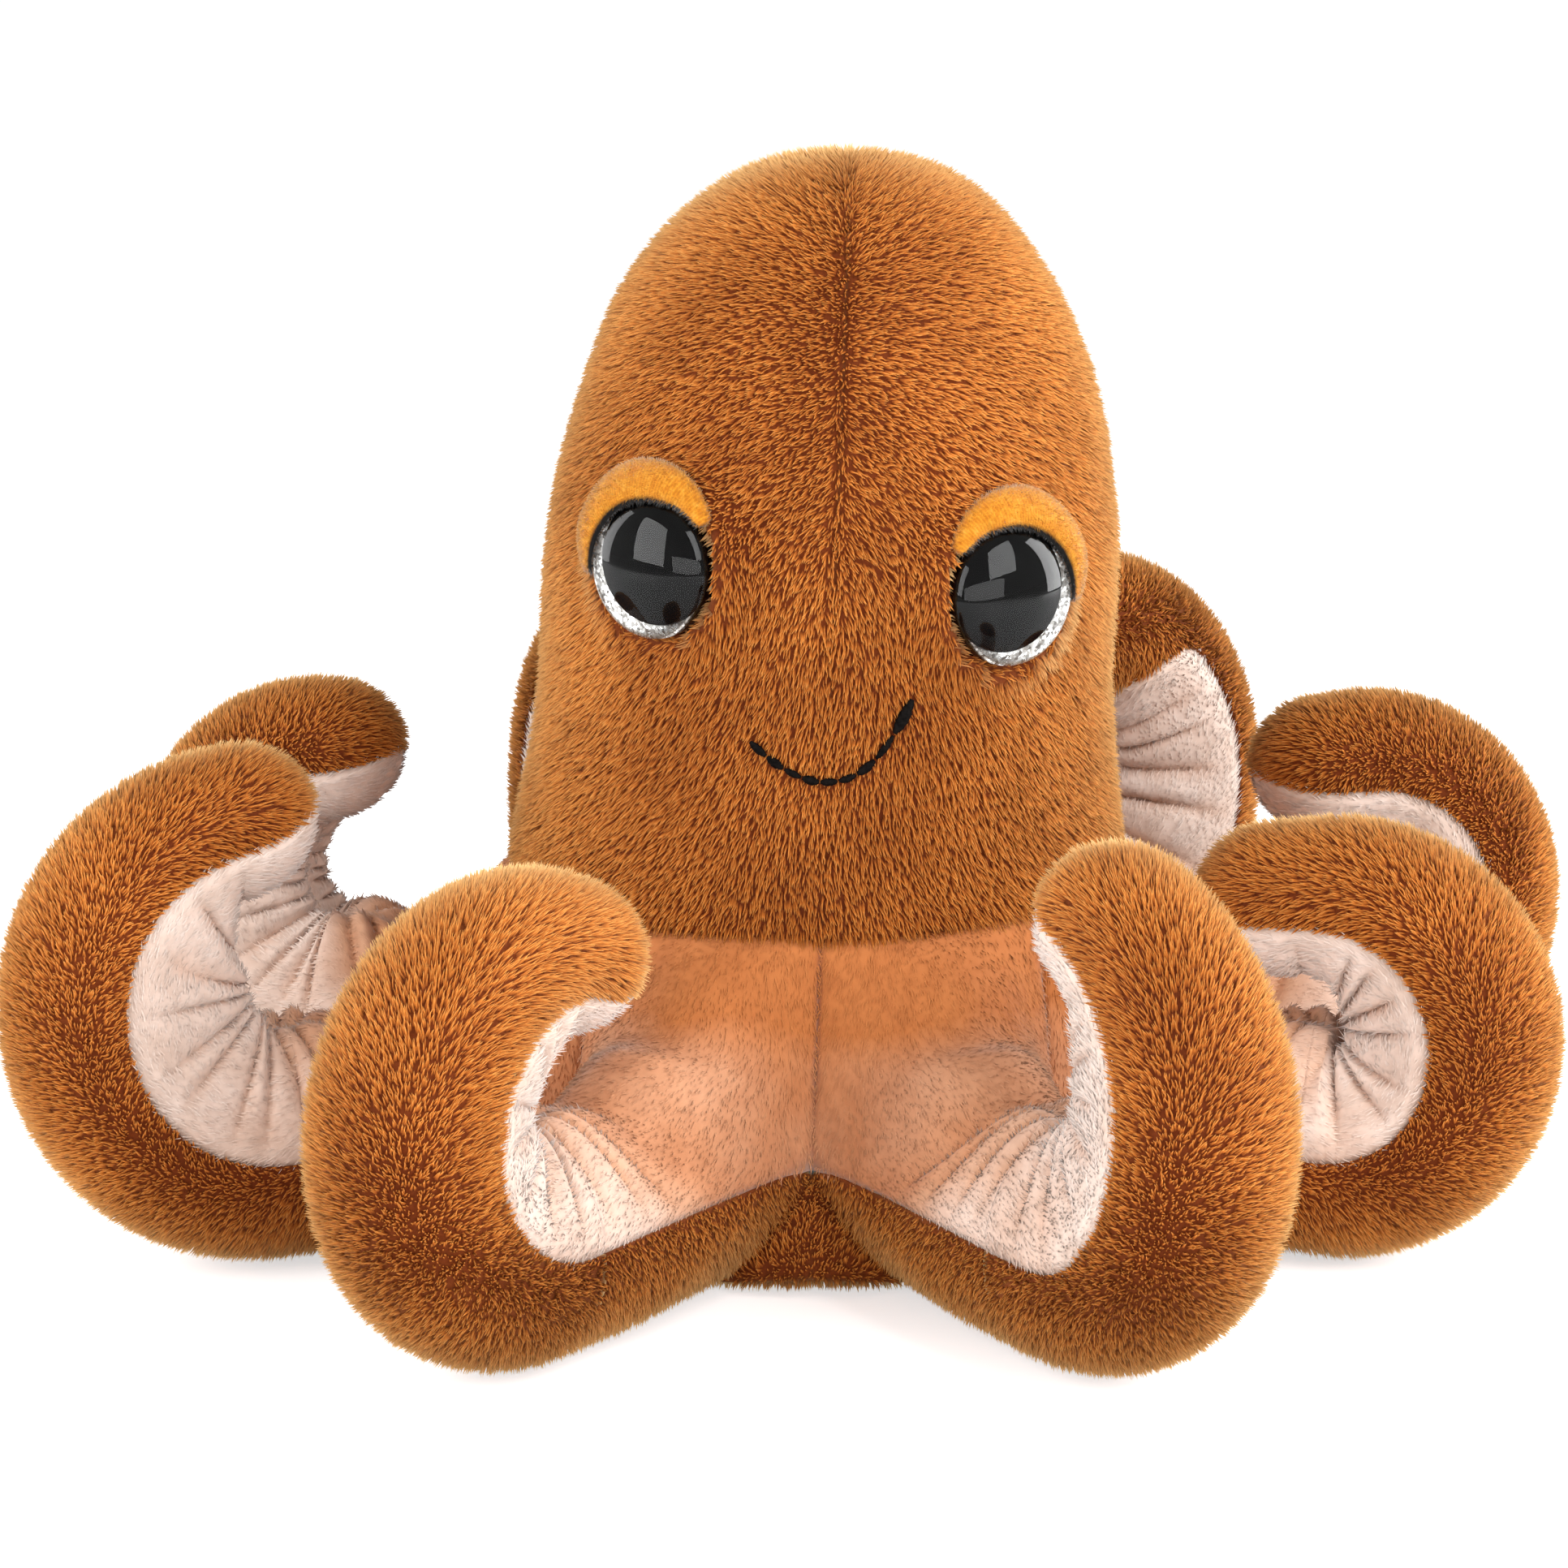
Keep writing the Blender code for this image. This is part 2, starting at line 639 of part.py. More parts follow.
def make_eye(side, cover, filling):
    frame = eye_place(side)
    eye = bpy.data.objects.new("eye_seat_" + side, None)
    eye.matrix_world = frame
    bpy.context.scene.collection.objects.link(eye)
    name = "eye_" + side + "_"

    # Back plate and post in one, with the post pushed in through the cloth
    top = eye_back_thickness
    point = post_radius * post_tip_share
    profile = [(0, top), (eye_radius, top), (eye_radius, 0), (post_radius, 0)]
    profile += [(post_radius, -post_length + post_radius - point), (point, -post_length), (0, -post_length)]
    add_object(name + "post", closed_lathe(profile, eye_sides), (black, 0.35), eye)

    iris_low = top + seat_gap
    iris_high = iris_low + iris_thickness
    profile = [(0, iris_high), (iris_radius, iris_high), (iris_radius, iris_low), (0, iris_low)]
    add_object(name + "glitter_disc", closed_lathe(profile, eye_sides), (silver, 0.3, 0.8), eye)

    pupil_low = iris_high + seat_gap
    pupil_high = pupil_low + pupil_thickness
    profile = [(0, pupil_high), (pupil_radius, pupil_high), (pupil_radius, pupil_low), (0, pupil_low)]
    bm = closed_lathe(profile, eye_sides)
    inward = pupil_shift * (1 if side == "left" else -1)
    bmesh.ops.translate(bm, verts=bm.verts, vec=(inward, pupil_shift, 0))
    add_object(name + "pupil", bm, (black, 0.2), eye)

    # Clear lens, hollow behind for the disc and the pupil
    low = top + seat_gap
    roof = pupil_high + seat_gap
    bore = iris_radius + seat_gap
    profile = [(0, low + lens_height)]
    for step in range(1, lens_bends + 1):
        swing = math.pi / 2 * step / lens_bends
        radius = eye_radius * math.sin(swing)
        profile.append((radius, low + lens_rim + (lens_height - lens_rim) * math.cos(swing)))
    profile += [(eye_radius, low), (bore, low), (bore, roof), (0, roof)]
    add_object(name + "lens", closed_lathe(profile, eye_sides), (clear, 0.03), eye)

    # Lock washer behind the cloth
    high = -(cloth_thickness - eye_sink) - pad_gap - washer_rise()
    bore = post_radius + seat_gap
    profile = [(bore, high), (washer_radius, high), (washer_radius, high - washer_thickness)]
    profile += [(bore, high - washer_thickness), (bore, high)]
    bm = lathe(profile, eye_sides)
    bmesh.ops.remove_doubles(bm, verts=bm.verts, dist=seat_gap / 100)
    bmesh.ops.recalc_face_normals(bm, faces=bm.faces)
    add_object(name + "washer", bm, (nylon, 0.5), eye)

    # The seat in the cloth, pressed flat by the washer, and the pocket behind it
    reach = eye_radius + seat_gap
    over = lens_height * 2
    flat = high + seat_gap
    profile = [(0, over), (reach, over), (reach, -seat_gap), (post_radius + seat_gap, -seat_gap)]
    profile += [(post_radius + seat_gap, flat), (washer_radius + seat_gap, flat)]
    profile += [(washer_radius + seat_gap, -post_length), (0, -post_length)]
    seat = hide_cutter(add_object("eye_seat_cutter_" + side, closed_lathe(profile, eye_sides), (nylon, 1), eye))
    add_cut(cover, seat)

    reach = washer_radius + pad_gap
    deep = post_length + pad_gap
    profile = [(0, over), (reach, over), (reach, high - washer_thickness - pad_gap)]
    profile += [(post_radius + pad_gap, high - washer_thickness - pad_gap)]
    profile += [(post_radius + pad_gap, -deep), (0, -deep)]
    pocket = hide_cutter(add_object("eye_pocket_cutter_" + side, closed_lathe(profile, eye_sides), (nylon, 1), eye))
    add_cut(filling, pocket)
    return eye


def washer_rise():
    """How far the curved cloth falls back across the washer."""
    return head_radius - math.sqrt(head_radius ** 2 - washer_radius ** 2)


def make_lid(side, eye):
    """A crescent swept round the eye, cut to the head and to the eye."""
    rows = []
    mirror = 1 if side == "left" else -1
    for step in range(lid_rings):
        share = step / (lid_rings - 1)
        least = lid_nose_share + (lid_outer_share - lid_nose_share) * share
        swell = least + (1 - least) * math.sin(math.pi * share) ** lid_swell_power
        angle = math.radians(lid_start_degrees + (lid_stop_degrees - lid_start_degrees) * share)
        outward = Vector((math.cos(angle) * mirror, math.sin(angle), 0))
        middle = outward * (eye_radius + lid_hug_share * lid_width * swell)
        row = []
        for spot in range(lid_sides):
            swing = 2 * math.pi * spot / lid_sides
            wide = outward * (lid_width * swell * math.cos(swing))
            tall = Vector((0, 0, lid_stand * swell + lid_rise * swell * math.sin(swing)))
            row.append(middle + wide + tall)
        rows.append(row)
    bm = bridge_rows(rows)
    lid = add_object("eyelid_" + side, bm, (lid_orange, 0.9), eye)

    reach = eye_radius + seat_gap
    over = lens_height * 2
    low = -lens_height
    profile = [(0, over), (reach, over), (reach, low), (0, low)]
    eye_cutter = add_object("lid_eye_cutter_" + side, closed_lathe(profile, eye_sides), (nylon, 1), eye)
    add_cut(lid, hide_cutter(eye_cutter))
    return lid


def make_lid_bed():
    """The head's outline grown by a gap, to cut the lids' undersides."""
    profile = [(0, head_top + seat_gap)]
    profile += [(radius + seat_gap, height) for radius, height in head_profile(0.0, neck_height, crown_hole)[1:]]
    profile += [(0, neck_height)]
    bm = closed_lathe(profile, head_sides * 2)
    lean_with_head(bm)
    return hide_cutter(add_object("lid_bed_cutter", bm, (nylon, 1)))


# Mouth

def make_mouth():
    """One thread that swells at each stitch, bowed into a crooked smile."""
    middles = []
    steps = stitches * rings_per_stitch
    for step in range(steps + 1):
        share = step / steps
        turn = mouth_turn_left_degrees + (mouth_turn_right_degrees - mouth_turn_left_degrees) * share
        left = mouth_height_left - mouth_height_low
        right = mouth_height_right - mouth_height_low
        if share < mouth_low_share:
            height = mouth_height_low + left * (1 - share / mouth_low_share) ** mouth_left_power
        else:
            rise = (share - mouth_low_share) / (1 - mouth_low_share)
            height = mouth_height_low + right * rise ** mouth_right_power
        phase = step % rings_per_stitch / rings_per_stitch
        size = stitch_radius * (stitch_waist_share + (1 - stitch_waist_share) * math.sin(math.pi * phase))
        spot = on_head(turn, height, stitch_radius + seat_gap)
        away = on_head(turn, height, head_radius) - on_head(turn, height, 0.0)
        middles.append((spot, away.normalized(), size))
    rows = []
    for step, (spot, away, size) in enumerate(middles):
        before = middles[max(step - 1, 0)][0]
        after = middles[min(step + 1, steps)][0]
        ahead = (after - before).normalized()
        across = ahead.cross(away)
        row = []
        for corner in range(stitch_sides):
            swing = 2 * math.pi * corner / stitch_sides
            row.append(spot + away * (size * math.cos(swing)) + across * (size * math.sin(swing)))
        rows.append(row)
    bm = bridge_rows(rows)
    add_object("mouth_stitch", bm, (black, 0.6))


def main():
    clear_scene()
    sockets = make_sockets()
    covers, head_filling = make_head()
    make_body(sockets)
    for name, arm in arms.items():
        make_arm(name, arm)
    bed = make_lid_bed()
    for side in ("left", "right"):
        eye = make_eye(side, covers[side], head_filling)
        lid = make_lid(side, eye)
        add_cut(lid, bed)
    make_mouth()
    bpy.context.view_layer.update()


main()
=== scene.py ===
import json
import math

import bmesh
import bpy
import numpy as np
from mathutils import Matrix, Vector, noise

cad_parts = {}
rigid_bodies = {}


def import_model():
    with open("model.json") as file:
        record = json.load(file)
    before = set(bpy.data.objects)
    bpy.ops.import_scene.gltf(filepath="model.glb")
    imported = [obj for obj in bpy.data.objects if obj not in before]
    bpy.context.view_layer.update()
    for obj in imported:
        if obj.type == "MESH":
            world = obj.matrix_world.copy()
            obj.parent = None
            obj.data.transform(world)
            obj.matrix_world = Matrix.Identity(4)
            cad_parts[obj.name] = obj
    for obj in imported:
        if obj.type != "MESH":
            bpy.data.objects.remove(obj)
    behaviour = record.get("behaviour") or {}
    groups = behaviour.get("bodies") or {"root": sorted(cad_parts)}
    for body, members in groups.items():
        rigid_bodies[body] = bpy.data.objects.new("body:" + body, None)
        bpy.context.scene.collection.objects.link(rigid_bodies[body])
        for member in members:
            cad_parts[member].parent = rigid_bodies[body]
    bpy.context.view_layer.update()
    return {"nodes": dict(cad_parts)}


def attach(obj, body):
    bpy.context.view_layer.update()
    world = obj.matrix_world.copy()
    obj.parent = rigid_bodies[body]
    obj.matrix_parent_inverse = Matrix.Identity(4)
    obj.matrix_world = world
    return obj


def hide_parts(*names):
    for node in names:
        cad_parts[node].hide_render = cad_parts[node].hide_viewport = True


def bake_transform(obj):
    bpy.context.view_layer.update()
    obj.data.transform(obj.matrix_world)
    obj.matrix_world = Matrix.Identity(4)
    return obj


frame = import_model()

nodes = frame["nodes"]

# Fewer hairs while other pieces are being worked on
pileShare = 1.0

mm = 0.001


def say(text):
    print("octopus:", text)


# Camera and light, as the photograph was taken

view = dict(elevation=14.4, distance=0.80, targetHeight=0.075, focal=6400, middle=(1000, 890), frame=1932)


def makeCamera():
    rise = math.radians(view["elevation"])
    back = Vector((0, -math.cos(rise), math.sin(rise)))
    half = view["frame"] / 2
    camera = bpy.data.cameras.new("camera")
    camera.sensor_width = 36
    camera.lens = view["focal"] / view["frame"] * camera.sensor_width
    camera.shift_x = (half - view["middle"][0]) / view["frame"]
    camera.shift_y = -(half - view["middle"][1]) / view["frame"]
    camera.clip_start = 0.01
    holder = bpy.data.objects.new("camera", camera)
    bpy.context.scene.collection.objects.link(holder)
    holder.location = Vector((0, 0, view["targetHeight"])) + back * view["distance"]
    holder.rotation_euler = (-back).to_track_quat("-Z", "Y").to_euler()
    bpy.context.scene.camera = holder


def makeLamp(name, place, aim, size, power):
    light = bpy.data.lights.new(name, "AREA")
    light.shape = "RECTANGLE"
    light.size, light.size_y = size
    light.energy = power
    lamp = bpy.data.objects.new(name, light)
    bpy.context.scene.collection.objects.link(lamp)
    lamp.location = place
    lamp.rotation_euler = (Vector(aim) - Vector(place)).to_track_quat("-Z", "Y").to_euler()


def seenByCamera(tree):
    # 1 for the camera, and for what shows in gloss and through the clear eyes
    path = tree.nodes.new("ShaderNodeLightPath")
    first = tree.nodes.new("ShaderNodeMath")
    second = tree.nodes.new("ShaderNodeMath")
    first.operation = second.operation = "MAXIMUM"
    tree.links.new(path.outputs["Is Camera Ray"], first.inputs[0])
    tree.links.new(path.outputs["Is Transmission Ray"], first.inputs[1])
    tree.links.new(first.outputs[0], second.inputs[0])
    tree.links.new(path.outputs["Is Glossy Ray"], second.inputs[1])
    return first.outputs[0]


studio = dict(
    skyStrength=0.46, floorColour=0.90, floorGlow=0.58,
    leftBox=dict(place=(-0.62, -0.40, 0.38), size=(0.44, 0.58), power=4.4),
    rightBox=dict(place=(0.50, -0.52, 0.60), size=(0.50, 0.66), power=6.5),
    leftRim=dict(place=(-0.74, 0.24, 0.30), size=(0.30, 0.60), power=2.2),
    rightRim=dict(place=(0.74, 0.10, 0.30), size=(0.30, 0.60), power=5.0),
    lowFront=dict(place=(0.12, -0.92, 0.19), size=(1.50, 0.30), power=4.2),
)


def makeStudio():
    scene = bpy.context.scene
    scene.view_settings.view_transform = "Standard"
    world = bpy.data.worlds.new("studio")
    scene.world = world
    world.use_nodes = True
    tree = world.node_tree
    tree.nodes.clear()
    lit = tree.nodes.new("ShaderNodeBackground")
    lit.inputs["Color"].default_value = (1.0, 0.985, 0.97, 1)
    lit.inputs["Strength"].default_value = studio["skyStrength"]
    seen = tree.nodes.new("ShaderNodeBackground")
    seen.inputs["Color"].default_value = (1, 1, 1, 1)
    mix = tree.nodes.new("ShaderNodeMixShader")
    out = tree.nodes.new("ShaderNodeOutputWorld")
    tree.links.new(seenByCamera(tree), mix.inputs[0])
    tree.links.new(lit.outputs[0], mix.inputs[1])
    tree.links.new(seen.outputs[0], mix.inputs[2])
    tree.links.new(mix.outputs[0], out.inputs[0])

    for name in ("leftBox", "rightBox", "leftRim", "rightRim", "lowFront"):
        lamp = studio[name]
        makeLamp(name, lamp["place"], (0, 0, 0.08), lamp["size"], lamp["power"])

    bm = bmesh.new()
    bmesh.ops.create_grid(bm, x_segments=2, y_segments=2, size=4.0)
    mesh = bpy.data.meshes.new("floor")
    bm.to_mesh(mesh)
    bm.free()
    floor = bpy.data.objects.new("floor", mesh)
    bpy.context.scene.collection.objects.link(floor)
    material = bpy.data.materials.new("paleFloor")
    material.use_nodes = True
    tree = material.node_tree
    shader = tree.nodes["Principled BSDF"]
    shader.inputs["Base Color"].default_value = (*[studio["floorColour"]] * 3, 1)
    shader.inputs["Roughness"].default_value = 0.9
    shader.inputs["Specular IOR Level"].default_value = 0.1
    shader.inputs["Emission Color"].default_value = (1, 1, 1, 1)
    glow = tree.nodes.new("ShaderNodeMath")
    glow.operation = "MULTIPLY"
    glow.inputs[1].default_value = studio["floorGlow"]
    tree.links.new(seenByCamera(tree), glow.inputs[0])
    tree.links.new(glow.outputs[0], shader.inputs["Emission Strength"])
    mesh.materials.append(material)


# Small helpers

def smooth(share):
    share = min(max(share, 0.0), 1.0)
    return share * share * (3 - 2 * share)


def lerp(low, high, share):
    return low + (high - low) * share


def bell(offset, width):
    return math.exp(-(offset / width) ** 2)


def linear(red, green, blue):
    # a colour as seen on screen, turned to the numbers that shaders take
    parts = []
    for part in (red, green, blue):
        share = part / 255
        parts.append(share / 12.92 if share <= 0.04045 else ((share + 0.055) / 1.055) ** 2.4)
    return (*parts, 1.0)


def newObject(name, mesh):
    piece = bpy.data.objects.new(name, mesh)
    bpy.context.scene.collection.objects.link(piece)
    return piece


def catmull(points, share):
    # a smooth run through the points, 0 at the first and 1 at the last
    last = len(points) - 1
    spot = min(max(share, 0.0), 1.0) * last
    here = min(int(spot), last - 1)
    part = spot - here
    a = points[max(here - 1, 0)]
    b = points[here]
    c = points[here + 1]
    d = points[min(here + 2, last)]
    return 0.5 * ((2 * b) + (c - a) * part + (2 * a - 5 * b + 4 * c - d) * part ** 2
                  + (3 * b - a - 3 * c + d) * part ** 3)


# Materials

def newMaterial(name):
    material = bpy.data.materials.new(name)
    material.use_nodes = True
    tree = material.node_tree
    return material, tree, tree.nodes["Principled BSDF"]


def attribute(tree, name):
    node = tree.nodes.new("ShaderNodeAttribute")
    node.attribute_name = name
    return node


def ramp(tree, source, stops):
    node = tree.nodes.new("ShaderNodeValToRGB")
    stopsOf = node.color_ramp.elements
    while len(stopsOf) < len(stops):
        stopsOf.new(0.5)
    for stop, (place, colour) in zip(stopsOf, stops):
        stop.position = place
        stop.color = colour
    tree.links.new(source, node.inputs["Fac"])
    return node.outputs["Color"]


def noiseNode(tree, scale, detail=2.0, rough=0.5, kind="Fac"):
    where = tree.nodes.new("ShaderNodeTexCoord")
    node = tree.nodes.new("ShaderNodeTexNoise")
    node.inputs["Scale"].default_value = scale
    node.inputs["Detail"].default_value = detail
    node.inputs["Roughness"].default_value = rough
    tree.links.new(where.outputs["Object"], node.inputs["Vector"])
    return node.outputs[kind]


def mixColours(tree, share, first, second, way="MIX"):
    node = tree.nodes.new("ShaderNodeMix")
    node.data_type = "RGBA"
    node.blend_type = way
    for socket, value in ((node.inputs[0], share), (node.inputs[6], first), (node.inputs[7], second)):
        if isinstance(value, (int, float, tuple)):
            socket.default_value = value
        else:
            tree.links.new(value, socket)
    return node.outputs[2]


def math2(tree, way, first, second):
    node = tree.nodes.new("ShaderNodeMath")
    node.operation = way
    for socket, value in ((node.inputs[0], first), (node.inputs[1], second)):
        if isinstance(value, (int, float)):
            socket.default_value = value
        else:
            tree.links.new(value, socket)
    return node.outputs[0]


def bump(tree, height, distance, strength=1.0):
    node = tree.nodes.new("ShaderNodeBump")
    node.inputs["Distance"].default_value = distance
    node.inputs["Strength"].default_value = strength
    tree.links.new(height, node.inputs["Height"])
    return node.outputs["Normal"]


# the root colour is painted shade down among the hairs, the tip colour a painted highlight on their lit ends
gingerPile = dict(root=linear(122, 56, 16), middle=linear(196, 114, 42), tip=linear(232, 164, 84))


def makeGinger():
    # each hair is painted darker where it leaves the cloth, as shade among the hairs, and paler at its end, as a
    # painted highlight; the cloth below takes the dark root colour as painted shade
    material, tree, shader = newMaterial("gingerPlush")
    tip = attribute(tree, "tip").outputs["Fac"]
    shade = attribute(tree, "shade").outputs["Fac"]
    along = ramp(tree, tip, [(0.0, gingerPile["root"]), (0.55, gingerPile["middle"]), (1.0, gingerPile["tip"])])
    patch = ramp(tree, noiseNode(tree, 42, 3), [(0.32, (0.76, 0.68, 0.58, 1)), (0.68, (1.12, 1.12, 1.14, 1))])
    colour = mixColours(tree, 0.9, along, patch, "MULTIPLY")
    # a random tone for each hair, with painted shade by clump mixed into it
    single = ramp(tree, shade, [(0.0, (0.72, 0.66, 0.60, 1)), (0.6, (1, 1, 1, 1)), (1.0, (1.18, 1.22, 1.30, 1))])
    colour = mixColours(tree, 0.8, colour, single, "MULTIPLY")
    grit = ramp(tree, noiseNode(tree, 1900, 2), [(0.35, (0.80, 0.76, 0.72, 1)), (0.65, (1.12, 1.12, 1.14, 1))])
    colour = mixColours(tree, 0.6, colour, grit, "MULTIPLY")
    tree.links.new(colour, shader.inputs["Base Color"])
    shader.inputs["Roughness"].default_value = 0.8
    shader.inputs["Specular IOR Level"].default_value = 0.15
    shader.inputs["Sheen Weight"].default_value = 0.9
    shader.inputs["Sheen Roughness"].default_value = 0.42
    shader.inputs["Sheen Tint"].default_value = linear(255, 214, 150)
    return material


facePile = dict(peach=linear(192, 120, 66), blush=linear(212, 168, 138), pale=linear(232, 217, 208))


def makeFaceCloth():
    # peach by the body, fading to a pinkish white along the arm, and peach in the creases as painted shade
    material, tree, shader = newMaterial("paleFaceCloth")
    warm = attribute(tree, "warm").outputs["Fac"]
    tip = attribute(tree, "tip").outputs["Fac"]
    shade = attribute(tree, "shade").outputs["Fac"]
    wander = math2(tree, "MULTIPLY", math2(tree, "SUBTRACT", noiseNode(tree, 60, 3), 0.5), 0.35)
    spread = math2(tree, "ADD", warm, wander)
    colour = ramp(tree, spread, [(0.05, facePile["pale"]), (0.40, facePile["blush"]), (0.82, facePile["peach"])])
    fleck = ramp(tree, noiseNode(tree, 420, 2), [(0.35, (0.92, 0.89, 0.87, 1)), (0.65, (1.03, 1.03, 1.03, 1))])
    colour = mixColours(tree, 0.8, colour, fleck, "MULTIPLY")
    brushed = ramp(tree, noiseNode(tree, 95, 4), [(0.36, (0.90, 0.84, 0.80, 1)), (0.64, (1.05, 1.05, 1.06, 1))])
    colour = mixColours(tree, 0.75, colour, brushed, "MULTIPLY")
    # painted shade: each hair is darker where it leaves the cloth
    depth = ramp(tree, tip, [(0.0, (0.93, 0.89, 0.86, 1)), (0.6, (1, 1, 1, 1))])
    colour = mixColours(tree, 0.8, colour, depth, "MULTIPLY")
    # a random tone for each hair, with painted shade by clump mixed into it
    single = ramp(tree, shade, [(0.0, (0.94, 0.92, 0.90, 1)), (1.0, (1.06, 1.06, 1.06, 1))])
    colour = mixColours(tree, 0.7, colour, single, "MULTIPLY")
    tree.links.new(colour, shader.inputs["Base Color"])
    shader.inputs["Roughness"].default_value = 0.8
    shader.inputs["Specular IOR Level"].default_value = 0.18
    shader.inputs["Sheen Weight"].default_value = 0.3
    shader.inputs["Sheen Roughness"].default_value = 0.45
    return material


def makeLidVelour():
    material, tree, shader = newMaterial("lidVelour")
    fine = noiseNode(tree, 900, 4, 0.6)
    broad = noiseNode(tree, 130, 2)
    tip = attribute(tree, "tip").outputs["Fac"]
    colour = ramp(tree, fine, [(0.30, linear(204, 126, 24)), (0.55, linear(226, 156, 42)), (0.80, linear(242, 182, 78))])
    soft = ramp(tree, broad, [(0.3, (0.88, 0.86, 0.82, 1)), (0.7, (1.05, 1.05, 1.05, 1))])
    colour = mixColours(tree, 0.7, colour, soft, "MULTIPLY")
    # painted shade: the velour is darker where each hair leaves the cloth
    depth = ramp(tree, tip, [(0.0, (0.82, 0.74, 0.64, 1)), (0.8, (1.04, 1.04, 1.04, 1))])
    colour = mixColours(tree, 0.7, colour, depth, "MULTIPLY")
    # painted shade in the grooves between fine ribs, which the cloth's shape doesn't have
    ribs = math2(tree, "SINE", math2(tree, "MULTIPLY", attribute(tree, "run").outputs["Fac"], math.tau * 72), 0.0)
    grooveShade = ramp(tree, ribs, [(0.0, (0.80, 0.74, 0.66, 1)), (0.7, (1.04, 1.04, 1.04, 1))])
    colour = mixColours(tree, 0.75, colour, grooveShade, "MULTIPLY")
    # near-black along the lid's lower edge
    darkEdge = attribute(tree, "warm").outputs["Fac"]
    colour = mixColours(tree, darkEdge, colour, linear(14, 11, 8))
    tree.links.new(colour, shader.inputs["Base Color"])
    shader.inputs["Roughness"].default_value = 0.85
    shader.inputs["Specular IOR Level"].default_value = 0.15
    shader.inputs["Sheen Weight"].default_value = 0.35
    tree.links.new(bump(tree, fine, 0.12 * mm, 0.6), shader.inputs["Normal"])
    return material


def makeBlackPlastic():
    material, tree, shader = newMaterial("blackEyePlastic")
    mottle = noiseNode(tree, 300, 3)
    tree.links.new(ramp(tree, mottle, [(0.3, linear(3, 3, 4)), (0.7, linear(8, 8, 8))]), shader.inputs["Base Color"])
    tree.links.new(ramp(tree, mottle, [(0.2, (0.28, 0.28, 0.28, 1)), (0.8, (0.40, 0.40, 0.40, 1))]), shader.inputs["Roughness"])
    shader.inputs["Specular IOR Level"].default_value = 0.02
    return material


def makeGlitter():
    # flakes of foil, each at its own slant and brightness
    material, tree, shader = newMaterial("silverGlitter")
    where = tree.nodes.new("ShaderNodeTexCoord")
    flakes = tree.nodes.new("ShaderNodeTexVoronoi")
    flakes.inputs["Scale"].default_value = 2600
    tree.links.new(where.outputs["Object"], flakes.inputs["Vector"])
    level = flakes.outputs["Color"]
    tree.links.new(ramp(tree, level, [(0.15, linear(96, 92, 88)), (0.5, linear(176, 174, 170)), (0.8, linear(250, 250, 248))]),
                   shader.inputs["Base Color"])
    tree.links.new(ramp(tree, level, [(0.2, (0.45, 0.45, 0.45, 1)), (0.8, (0.16, 0.16, 0.16, 1))]), shader.inputs["Roughness"])
    shader.inputs["Metallic"].default_value = 0.75
    tree.links.new(bump(tree, level, 0.25 * mm, 1.0), shader.inputs["Normal"])
    return material


def makeClear(name, gloss):
    material, tree, shader = newMaterial(name)
    shader.inputs["Specular Tint"].default_value = (gloss, gloss, gloss, 1)
    shader.inputs["Base Color"].default_value = (0.97, 0.98, 0.98, 1)
    shader.inputs["Transmission Weight"].default_value = 1.0
    shader.inputs["IOR"].default_value = 1.49
    haze = noiseNode(tree, 700, 3)
    tree.links.new(ramp(tree, haze, [(0.45, (0.015, 0.015, 0.015, 1)), (0.75, (0.06, 0.06, 0.06, 1))]), shader.inputs["Roughness"])
    return material


def makeThread(name, dark, light, scale=1500, sheen=0.2, gloss=0.25):
    material, tree, shader = newMaterial(name)
    strands = noiseNode(tree, scale, 4, 0.65)
    tree.links.new(ramp(tree, strands, [(0.3, dark), (0.7, light)]), shader.inputs["Base Color"])
    shader.inputs["Roughness"].default_value = 0.75
    shader.inputs["Specular IOR Level"].default_value = gloss
    shader.inputs["Sheen Weight"].default_value = sheen
    tree.links.new(bump(tree, strands, 0.08 * mm, 0.8), shader.inputs["Normal"])
    return material


def makeFibre(name, dark, light, scale):
    # stuffing and inner cloths, tangled or woven
    material, tree, shader = newMaterial(name)
    tangle = noiseNode(tree, scale, 6, 0.7)
    tree.links.new(ramp(tree, tangle, [(0.3, dark), (0.7, light)]), shader.inputs["Base Color"])
    shader.inputs["Roughness"].default_value = 0.95
    tree.links.new(bump(tree, tangle, 0.5 * mm, 0.7), shader.inputs["Normal"])
    return material


def makeNylon():
    material, tree, shader = newMaterial("washerNylon")
    grain = noiseNode(tree, 800, 3)
    tree.links.new(ramp(tree, grain, [(0.3, linear(205, 204, 198)), (0.7, linear(226, 225, 220))]), shader.inputs["Base Color"])
    tree.links.new(ramp(tree, grain, [(0.3, (0.38, 0.38, 0.38, 1)), (0.7, (0.5, 0.5, 0.5, 1))]), shader.inputs["Roughness"])
    return material


materials = dict(
    ginger=makeGinger(),
    face=makeFaceCloth(),
    lid=makeLidVelour(),
    black=makeBlackPlastic(),
    glitter=makeGlitter(),
    clear=makeClear("clearDome", 0.48),
    mouth=makeThread("mouthThread", linear(6, 5, 5), linear(24, 21, 20), sheen=0.0, gloss=0.03),
    gather=makeThread("gatherThread", linear(206, 170, 146), linear(238, 218, 204)),
    stuffing=makeFibre("polyesterStuffing", linear(196, 194, 190), linear(240, 240, 238), 260),
    pelletCloth=makeFibre("pelletCotton", linear(190, 184, 170), linear(226, 220, 206), 900),
    nylon=makeNylon(),
)


# Cloth panels, each a grid laid over a shape

